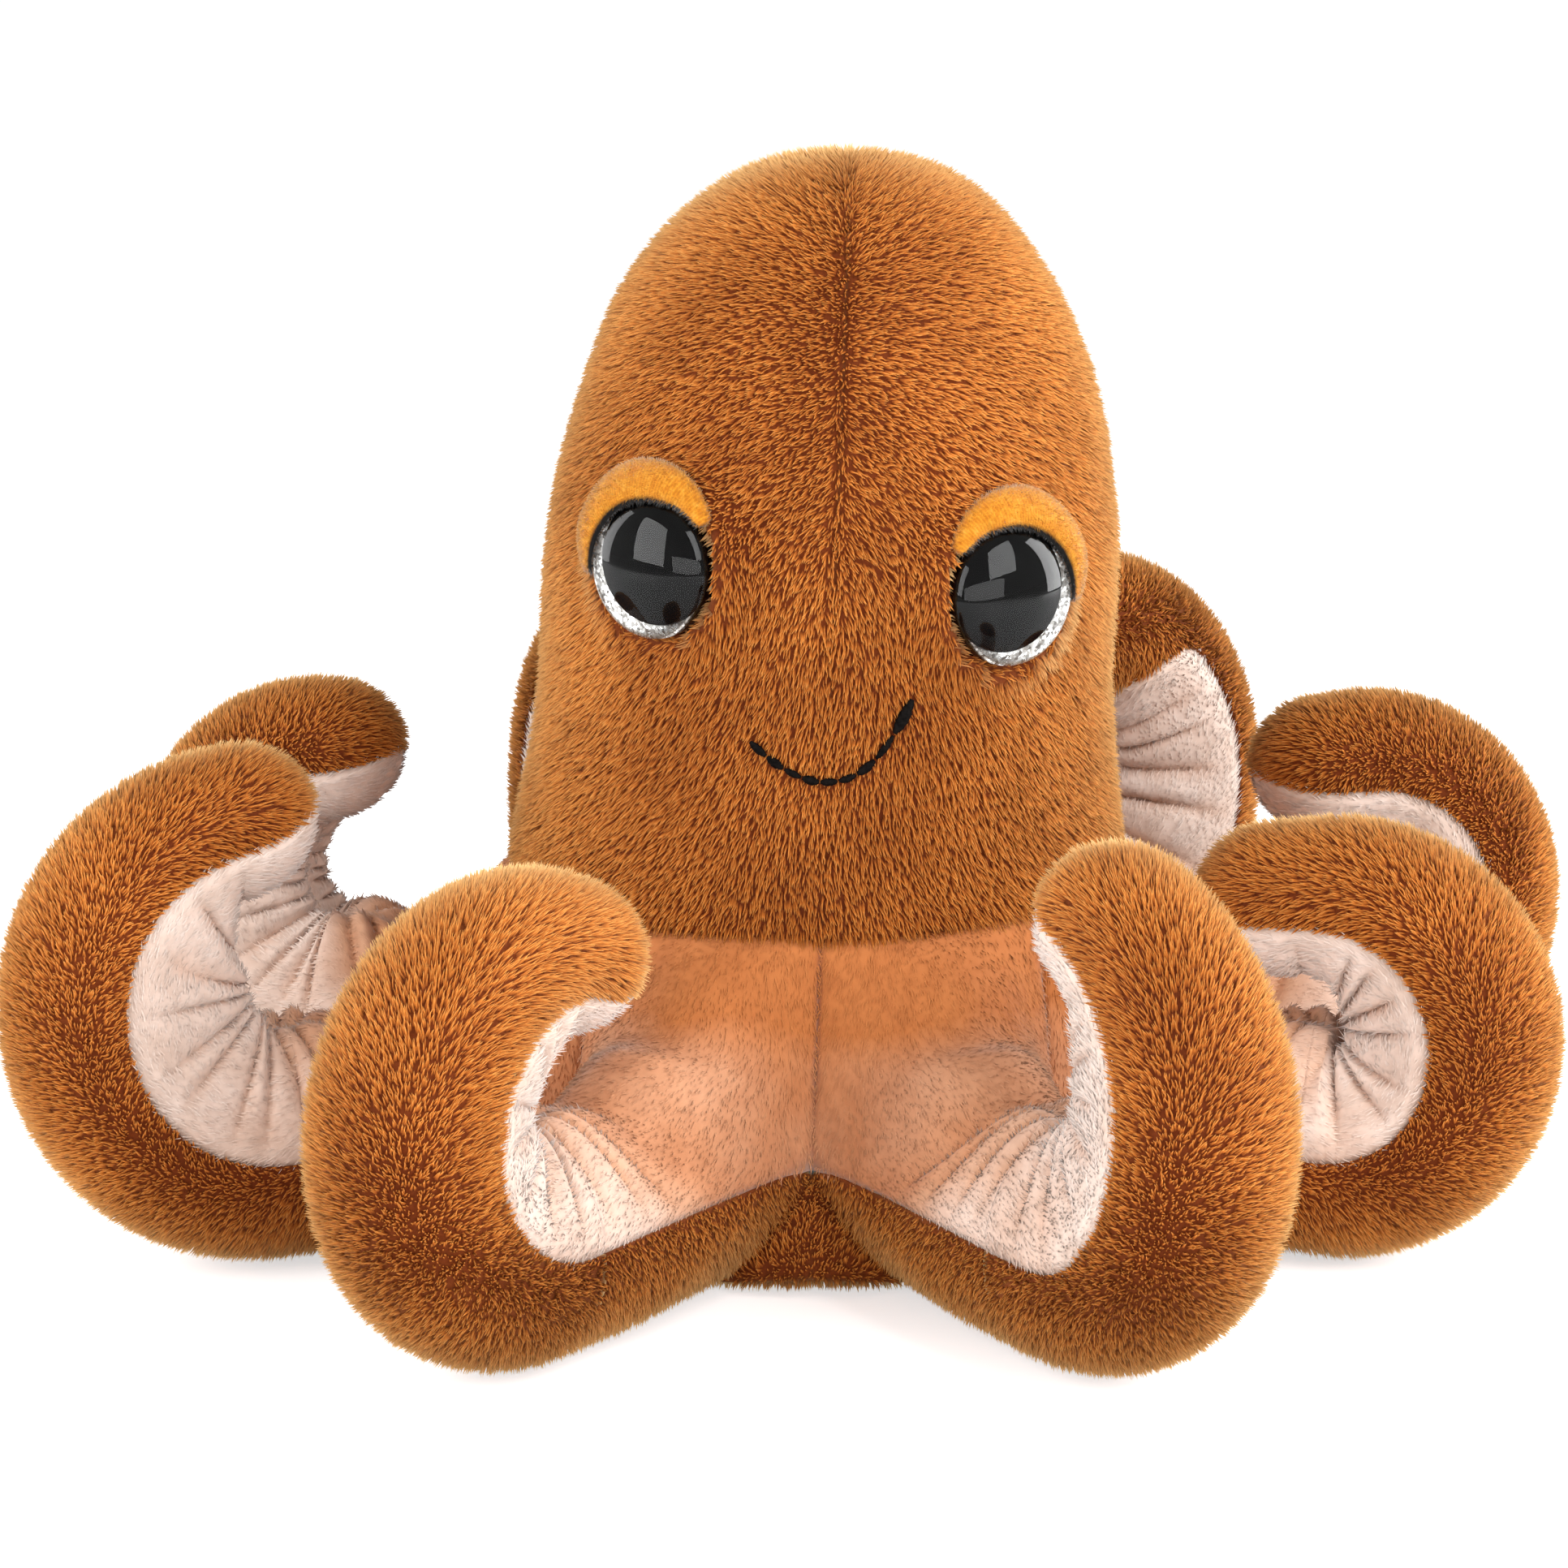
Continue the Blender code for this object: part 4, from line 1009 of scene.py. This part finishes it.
def rootFacePoint(arm, across, along):
    # the peach cloth from the neck seam down over the root of the arm
    side = 2 * across - 1
    turn = arm["root"] - body["sector"] * side
    lobe = (1 + math.cos(math.pi * side)) / 2
    neck = leaned(aroundZ(turn, head["neckRadius"] - 1.9 * mm, head["neckHeight"] + 0.3 * mm))
    fall = head["neckHeight"] - body["crotchHeight"]
    points = [neck]
    for down, out, downOver, outOver in ((0.07, 0.10, 0.14, 0.16), (0.26, 0.30, 0.46, 0.52), (0.52, 0.62, 0.92, 1.0)):
        radius = lerp(lerp(head["neckRadius"], body["crotchRadius"], out),
                      lerp(head["neckRadius"], body["shoulderRadius"], outOver), lobe)
        height = head["neckHeight"] - lerp(fall * down, (head["neckHeight"] - body["shoulderHeight"]) * downOver, lobe)
        points.append(leaned(aroundZ(turn, radius - skirtInset, height)))
    first = lerp(0.21, 0.06, side * side)
    full = (1 - side * side) ** 2
    theta = armSize["faceEdge"] * side
    entry = armPoint(arm, first, theta, faceInset(side))
    crotch = leaned(aroundZ(turn, body["crotchRadius"] - 0.9 * mm, body["crotchHeight"]))
    corner = ((points[-1] + entry) / 2 + Vector((0, 0, 2.2 * mm * full))).lerp(crotch, abs(side) ** 5)
    points.append(corner)
    share = along * 7.0
    if share < 4.0:
        run = points + [entry]
        spot = catmull(run, share / (len(run) - 1))
    else:
        onArm = lerp(first, armSize["split"], (share - 4.0) / 3.0)
        spot = armPoint(arm, onArm, theta, faceInset(side))
    sink = 0.9 * mm * smooth((abs(side) - 0.95) / 0.05) * (1 - smooth((share - 3.2) / 0.6))
    if sink:
        out = Vector((spot.x, spot.y, 0)).normalized()
        spot = spot - out * sink
    return spot


def rootBackPoint(arm, across, along):
    # the ginger cloth from the middle of the underside out under the arm
    side = 2 * across - 1
    theta = 180 - (180 - armSize["faceEdge"]) * side
    turn = arm["root"] - body["sector"] * side
    first = lerp(0.21, 0.06, side * side)
    entry = armPoint(arm, first, theta, backInset)
    low = backInset * 0.9
    ceiling = min(entry.z, body["crotchHeight"])
    points = [aroundZ(turn, 4 * mm, low), aroundZ(turn, 24 * mm, low), aroundZ(turn, 42 * mm, low)]
    for part in (0.10, 0.40, 1.0):
        height = lerp(low, ceiling, part)
        bulge = 1 - (1 - min(height / body["belly"], 1.0)) ** 2
        radius = lerp(body["restRadius"], body["crotchRadius"], math.sqrt(max(bulge, 0.0))) - backInset
        points.append(aroundZ(turn, radius, height))
    points.append(entry)
    share = along * 9.0
    if share < 6.0:
        spot = catmull(points, share / 6.0)
    else:
        onArm = lerp(first, armSize["split"], (share - 6.0) / 3.0)
        spot = armPoint(arm, onArm, theta, backInset)
    return spot


def calm(bm, times, share=1.0):
    # relax the cloth by the body, with its edges held
    bm.verts.ensure_lookup_table()
    part = bm.verts[:int(len(bm.verts) * share)]
    inner = [vert for vert in part if not vert.is_boundary]
    for _ in range(times):
        bmesh.ops.smooth_vert(bm, verts=inner, factor=0.5, use_axis_x=True, use_axis_y=True, use_axis_z=True)


def seamReach(side):
    # pile is shorter right at a seam
    return lerp(0.72, 1.0, smooth((1 - abs(side)) / 0.10))


def makeArm(name, arm, seed):
    arm["spine"] = armSpine(arm)
    bodyName = "arm_" + name
    wide = armSize["faceEdge"]

    def middle(spot):
        # the nearest place on the middle line
        best = min(arm["spine"][::20], key=lambda frame_: (frame_[0] - spot).length)
        return best[0]

    # face: pale, gathered along its middle
    def facePlace(across, along):
        share = lerp(armSize["split"], 1 + armSize["cap"], along)
        side = 2 * across - 1
        return armPoint(arm, share, seamAngle(arm, share, side) * side, faceInset(side))

    def faceFacts(across, along, spot):
        share = lerp(armSize["split"], 1 + armSize["cap"], along)
        side = 2 * across - 1
        crease = foldDepth(arm, share, wide * side) / folds["depth"]
        short = lerp(0.55, 1.0, smooth(abs(side) / 0.14)) * lerp(1.0, 0.5, crease)
        return dict(thick=1.0, reach=short * lerp(1.0, 1.35, abs(side) ** 3),
                    warm=facePeachAndCreaseShade(arm, share, side, crease), nap=(0.25 * side, 0.75))

    bm = layPanel("face", 40, 150, facePlace, faceFacts)
    faceOut(bm, middle)
    face = plushPiece("armFace_" + name, bm, 0.5 * mm, shortPile, materials["face"], seed)
    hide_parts(f"arm_{name}_face")
    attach(face, bodyName)

    # back: ginger, long pile combed towards the tip
    def backPlace(across, along):
        share = lerp(armSize["split"], 1 + armSize["cap"], along)
        side = 2 * across - 1
        return armPoint(arm, share, 180 - (180 - seamAngle(arm, share, side)) * side, backInset)

    def backFacts(across, along, spot):
        side = 2 * across - 1
        inwards = 0.40 * smooth((abs(side) - 0.5) / 0.5) * (1 if side > 0 else -1)
        swirl = noise.noise(spot * 40)
        return dict(thick=1.0, reach=seamReach(side), warm=0.0, nap=(inwards + 0.45 * swirl, 0.85))

    bm = layPanel("back", 30, 72, backPlace, backFacts)
    faceOut(bm, middle)
    back = plushPiece("armBack_" + name, bm, 0.9 * mm, longPile, materials["ginger"], seed + 20)
    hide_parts(f"arm_{name}_back")
    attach(back, bodyName)

    # the cloths between body and arm
    def rootFaceFacts(across, along, spot):
        side = 2 * across - 1
        first = lerp(0.21, 0.06, side * side)
        warm, crease = 1.0, 0.0
        share = along * 7.0
        if share > 4.0:
            onArm = lerp(first, armSize["split"], (share - 4.0) / 3.0)
            crease = foldDepth(arm, onArm, wide * side) / folds["depth"]
            warm = lerp(facePeachAndCreaseShade(arm, first, side, 0.0), facePeachAndCreaseShade(arm, onArm, side, crease), smooth(share - 4.0))
        elif share > 1.2:
            warm = lerp(1.0, facePeachAndCreaseShade(arm, first, side, 0.0), smooth((share - 1.2) / 2.8))
        return dict(thick=1.0, reach=lerp(0.85, 0.5, crease), warm=warm, nap=(0.1 * side, 0.8))

    bm = layPanel("rootFace", 40, 84, lambda a, b: rootFacePoint(arm, a, b), rootFaceFacts)
    calm(bm, 6, 0.60)
    faceOut(bm, lambda spot: Vector((spot.x * 0.6, spot.y * 0.6, 12 * mm)))
    rootFace = plushPiece("rootFace_" + name, bm, 0.5 * mm, shortPile, materials["face"], seed + 40)
    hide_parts("skirt")

    def rootBackFacts(across, along, spot):
        side = 2 * across - 1
        under = smooth((spot.z - 0.4 * mm) / (2.5 * mm))
        swirl = noise.noise(spot * 32)
        return dict(thick=lerp(0.4, 1.0, under), reach=seamReach(side) * lerp(0.45, 1.0, under), warm=0.0,
                    nap=(0.25 * swirl, 0.95))

    bm = layPanel("rootBack", 30, 54, lambda a, b: rootBackPoint(arm, a, b), rootBackFacts)
    calm(bm, 4)
    faceOut(bm, lambda spot: Vector((spot.x * 0.6, spot.y * 0.6, 14 * mm)))
    rootBack = plushPiece("rootBack_" + name, bm, 0.9 * mm, longPile, materials["ginger"], seed + 60)
    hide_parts("base_cover")

    for piece in (rootFace, rootBack):
        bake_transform(piece)

    # gather stitches down the middle of the face
    track = []
    for step in range(61):
        share = lerp(0.33, 0.95, step / 60)
        track.append(armPoint(arm, share, 0.0, skirtInset - 0.15 * mm))
    makeStitches("gatherStitches_" + name, track, 19, 0.17 * mm, 0.55, "gather", bodyName,
                 f"arm_{name}_gather_thread")
    makeArmFilling(name, arm)
    say("arm " + name)


def makeArmFilling(name, arm):
    # the stuffing fills its cover up, with room at the root, where the cover bends with the swing
    def place(across, along):
        theta = 360 * across - 180
        share = lerp(-armSize["cap"], 1 + armSize["cap"], along)
        under = lerp(1.5 * mm, 2.3 * mm, smooth((abs(theta) - 66) / 16))
        under += 3.2 * mm * (1 - smooth((share - 0.26) / 0.16))
        if share < 0:
            angle = math.pi / 2 * (1 + share / armSize["cap"])
            middle, ahead, inward, side = arm["spine"][0]
            size = armSize["rootRadius"] - under
            swing = math.radians(theta)
            ring = inward * math.cos(swing) + side * math.sin(swing)
            return middle + ring * size * math.sin(angle) - ahead * size * math.cos(angle)
        return armPoint(arm, share, theta, under)

    def facts(across, along, spot):
        return dict(thick=0.0, reach=0.0, warm=0.0, nap=(0, 1))

    bm = layPanel("filling", 32, 60, place, facts)
    bmesh.ops.recalc_face_normals(bm, faces=bm.faces)
    mesh = bpy.data.meshes.new("armFilling_" + name)
    bm.to_mesh(mesh)
    bm.free()
    mesh.shade_smooth()
    mesh.materials.append(materials["stuffing"])
    piece = newObject("armFilling_" + name, mesh)
    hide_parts(f"arm_{name}_filling")
    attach(piece, "arm_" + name)


def makeStitches(name, track, count, radius, fillShare, finish, bodyName, node, turns=2.0, lastSize=1.0):
    # separate stitches of twisted thread along a track, each diving in at its ends
    bm = bmesh.new()
    last = len(track) - 1
    for number in range(count):
        rings = []
        for step in range(13):
            part = step / 12
            spot = (number + (1 - fillShare) / 2 + fillShare * part) / count * last
            here = min(int(spot), last - 1)
            middle = track[here].lerp(track[here + 1], spot - here)
            ahead = (track[here + 1] - track[here]).normalized()
            side = ahead.orthogonal().normalized()
            taper = max(math.sin(math.pi * min(max(part, 0.04), 0.96)), 0.0) ** 0.45
            taper *= lastSize if number == count - 1 else 1 + 0.14 * math.sin(2.4 * number)
            before = set(bm.verts)
            bmesh.ops.create_circle(bm, cap_ends=False, segments=12, radius=radius * taper)
            ring = [vert for vert in bm.verts if vert not in before]
            turn = ahead.to_track_quat("Z", "Y").to_matrix().to_4x4()
            for vert in ring:
                angle = math.atan2(vert.co.y, vert.co.x) + turns * math.pi * part
                vert.co *= 1 + 0.16 * math.cos(3 * angle)
            bmesh.ops.transform(bm, matrix=Matrix.Translation(middle) @ turn, verts=ring)
            rings.append([edge for edge in bm.edges if edge.verts[0] in ring and edge.verts[1] in ring])
        for first, second in zip(rings, rings[1:]):
            bmesh.ops.bridge_loops(bm, edges=first + second)
        bmesh.ops.contextual_create(bm, geom=rings[0])
        bmesh.ops.contextual_create(bm, geom=rings[-1])
    bmesh.ops.recalc_face_normals(bm, faces=bm.faces)
    mesh = bpy.data.meshes.new(name)
    bm.to_mesh(mesh)
    bm.free()
    mesh.shade_smooth()
    mesh.materials.append(materials[finish])
    piece = newObject(name, mesh)
    if node:
        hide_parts(node)
    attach(piece, bodyName)
    return piece


def makeMouth():
    track = []
    for step in range(121):
        turn, height = mouthPoint(step / 120)
        track.append(onHead(turn, height, mouth["lift"]))
    makeStitches("mouthStitches", track, mouth["stitches"], mouth["radius"], 0.93, "mouth", "body",
                 "mouth_stitch", turns=3.0, lastSize=mouth["lastSize"])
    say("mouth")


# Eyes

def spinProfile(name, profile, frame_, material, segments=72):
    bm = bmesh.new()
    line = [bm.verts.new((radius, 0, height)) for radius, height in profile]
    edges = [bm.edges.new(pair) for pair in zip(line, line[1:])]
    bmesh.ops.spin(bm, geom=line + edges, cent=(0, 0, 0), axis=(0, 0, 1), angle=math.tau, steps=segments,
                   use_merge=True, use_duplicate=False)
    bmesh.ops.remove_doubles(bm, verts=bm.verts, dist=0.005 * mm)
    bmesh.ops.delete(bm, geom=[edge for edge in bm.edges if not edge.link_faces], context="EDGES")
    bmesh.ops.recalc_face_normals(bm, faces=bm.faces)
    bmesh.ops.transform(bm, matrix=frame_, verts=bm.verts)
    mesh = bpy.data.meshes.new(name)
    bm.to_mesh(mesh)
    bm.free()
    mesh.shade_smooth()
    mesh.set_sharp_from_angle(angle=math.radians(35))
    mesh.materials.append(material)
    return newObject(name, mesh)


def makeEye(side):
    seat = eyeSeats[side]
    low = eyes["back"] + eyes["gap"]
    irisLow = low + 0.12 * mm
    irisTop = low + eyes["disc"]
    pupilLow = irisTop + eyes["gap"] * 0.3
    pupilTop = pupilLow + eyes["disc"]
    radius = eyes["radius"]

    profile = [(0, irisTop)]
    profile += [(eyes["irisRadius"] - 0.15 * mm, irisTop), (eyes["irisRadius"], irisTop - 0.12 * mm),
                (eyes["irisRadius"], irisLow), (0, irisLow)]
    shift = Vector((eyes["irisShift"][0] * eyes[side]["mirror"], eyes["irisShift"][1], 0))
    iris = spinProfile("eyeGlitter_" + side, profile, seat @ Matrix.Translation(shift), materials["glitter"])
    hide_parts(f"eye_{side}_glitter_disc")
    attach(iris, "body")

    shift = Vector((eyes["pupilShift"][0] * eyes[side]["mirror"], eyes["pupilShift"][1], 0))
    profile = [(0, pupilTop), (eyes["pupilRadius"] - 0.12 * mm, pupilTop), (eyes["pupilRadius"], pupilTop - 0.1 * mm),
               (eyes["pupilRadius"], pupilLow), (0, pupilLow)]
    pupil = spinProfile("eyePupil_" + side, profile, seat @ Matrix.Translation(shift), materials["black"])
    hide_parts(f"eye_{side}_pupil")
    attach(pupil, "body")

    # clear dome, with the disc and the pupil laid into its back so that no air shows between them
    bends = 24
    profile = []
    for step in range(bends + 1):
        swing = math.pi / 2 * step / bends
        profile.append((radius * math.sin(swing), low + eyes["rim"] + (eyes["dome"] - eyes["rim"]) * math.cos(swing)))
    profile += [(radius, low + 0.25 * mm), (radius - 0.25 * mm, low), (0, low)]
    lens = spinProfile("eyeDome_" + side, profile, seat, materials["clear"])
    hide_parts(f"eye_{side}_lens")
    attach(lens, "body")

    # back plate with a rounded edge, and the ribbed post behind it
    post = 2.3 * mm
    length = 10.5 * mm
    profile = [(0, low + 0.06 * mm), (radius - 0.45 * mm, low + 0.06 * mm), (radius - 0.3 * mm, eyes["back"]),
               (radius, eyes["back"] - 0.3 * mm), (radius, 0.25 * mm), (radius - 0.25 * mm, 0), (post, 0)]
    for rib in range(6):
        foot = -1.6 * mm - rib * 1.3 * mm
        profile += [(post, foot), (post - 0.22 * mm, foot - 0.35 * mm), (post - 0.22 * mm, foot - 0.75 * mm)]
    profile += [(post, -length + 0.7 * mm), (post * 0.7, -length), (0, -length)]
    backPlate = spinProfile("eyePost_" + side, profile, seat, materials["black"], 48)
    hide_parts(f"eye_{side}_post")
    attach(backPlate, "body")


lids = dict(
    start=38.0, stop=191.0, bulge=2.1 * mm, under=0.3 * mm, ground=0.9 * mm, lift=0.45 * mm, round=0.04,
    inner=[10.9, 10.7, 10.4, 10.1, 9.7, 9.3, 8.9, 8.7, 8.9, 9.5],
    outer=[12.3, 13.6, 14.8, 15.4, 15.6, 15.3, 14.9, 14.3, 13.6, 12.4],
)
lidPile = dict(density=15.0, length=0.50 * mm, width=0.15 * mm, clump=1.2 * mm, tangle=0.20, stray=0.3,
               stand=0.9, uneven=0.3, softness=0.85)


def makeLid(side):
    seat = eyeSeats[side]
    mirror = eyes[side]["mirror"]

    def place(across, along):
        # a half-closed lid: its lower edge lies on the dome, its upper edge in the pile of the head
        inner = catmull(lids["inner"], along) * mm
        outer = catmull(lids["outer"], along) * mm
        rim = eyes["back"] + eyes["gap"] + eyes["rim"]
        over = math.sqrt(max(1 - (inner / eyes["radius"]) ** 2, 0.0))
        beyond = max(inner - eyes["radius"], 0.0)
        high = rim + (eyes["dome"] - eyes["rim"]) * over + lids["lift"] - 0.5 * beyond
        lower, upper = Vector((inner, high)), Vector((outer, lids["ground"]))
        chord = upper - lower
        crown = Vector((-chord.y, chord.x)).normalized()
        # both ends close in a short round
        close = min(min(along, 1 - along) / lids["round"], 1.0)
        close = math.sqrt(max(1 - (1 - close) ** 2, 0.0))
        bulge = lids["bulge"] * lerp(0.55, 1.0, smooth(min(along / 0.3, (1 - along) / 0.25)))
        swing = math.tau * across
        deep = (bulge if math.sin(swing) > 0 else lids["under"]) * math.sin(swing)
        flat = (lower + upper) / 2 + (chord / 2 * math.cos(swing) + crown * deep) * close
        angle = math.radians(lerp(lids["start"], lids["stop"], along))
        return seat @ Vector((math.cos(angle) * mirror * flat.x, math.sin(angle) * flat.x, flat.y))

    def facts(across, along, spot):
        # its lower edge is coloured near-black
        inner = abs(across - 0.5) * math.tau
        darkEdge = 1 - smooth((inner - 0.30) / 0.22)
        return dict(thick=1.0, reach=1 + 0.5 * darkEdge, warm=darkEdge, run=along, nap=(0.25, 0.15))

    bm = layPanel("lid", 44, 76, place, facts)
    bmesh.ops.recalc_face_normals(bm, faces=bm.faces)
    if bm.calc_volume(signed=True) < 0:
        bmesh.ops.reverse_faces(bm, faces=bm.faces)
    bm.normal_update()
    mesh = bm
    guide = newObject("lid_guide", bpy.data.meshes.new("lid_guide"))
    mesh.to_mesh(guide.data)
    made = bpy.data.meshes.new("eyelid")
    mesh.to_mesh(made)
    mesh.free()
    piece = newObject("eyelidVelour_" + side, made)
    grow = piece.modifiers.new("Pile", "NODES")
    grow.node_group = pileGroup("lid_pile_" + side, guide, lidPile, materials["lid"], 300 + mirror)
    bpy.context.view_layer.update()
    graph = bpy.context.evaluated_depsgraph_get()
    made = bpy.data.meshes.new_from_object(piece.evaluated_get(graph))
    piece.modifiers.clear()
    piece.data = made
    made.shade_smooth()
    softNormals(made, lidPile["softness"])
    for spare in ("clothNormal", "thick", "reach", "nap"):
        if spare in made.attributes:
            made.attributes.remove(made.attributes[spare])
    bpy.data.objects.remove(guide, do_unlink=True)
    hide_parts("eyelid_" + side)
    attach(piece, "body")


def dressInner():
    # what lies inside keeps the model's shape and gets its own finish
    for name, thing in nodes.items():
        finish = None
        if name.endswith("_filling"):
            finish = "stuffing"
        elif name.endswith("_washer"):
            finish = "nylon"
        elif name == "pellet_bag":
            finish = "pelletCloth"
        if finish:
            thing.data.materials.clear()
            thing.data.materials.append(materials[finish])


makeCamera()
makeStudio()
say("camera and studio")
dressInner()
makeHead()
for number, (name, arm) in enumerate(arms.items()):
    makeArm(name, arm, 100 + number * 80)
for side in ("left", "right"):
    makeEye(side)
    makeLid(side)
say("eyes and lids")
makeMouth()

bpy.context.view_layer.update()
total = sum(len(thing.data.loop_triangles) for thing in bpy.data.objects if thing.type == "MESH" and not thing.hide_render)
say(f"{total} triangles")
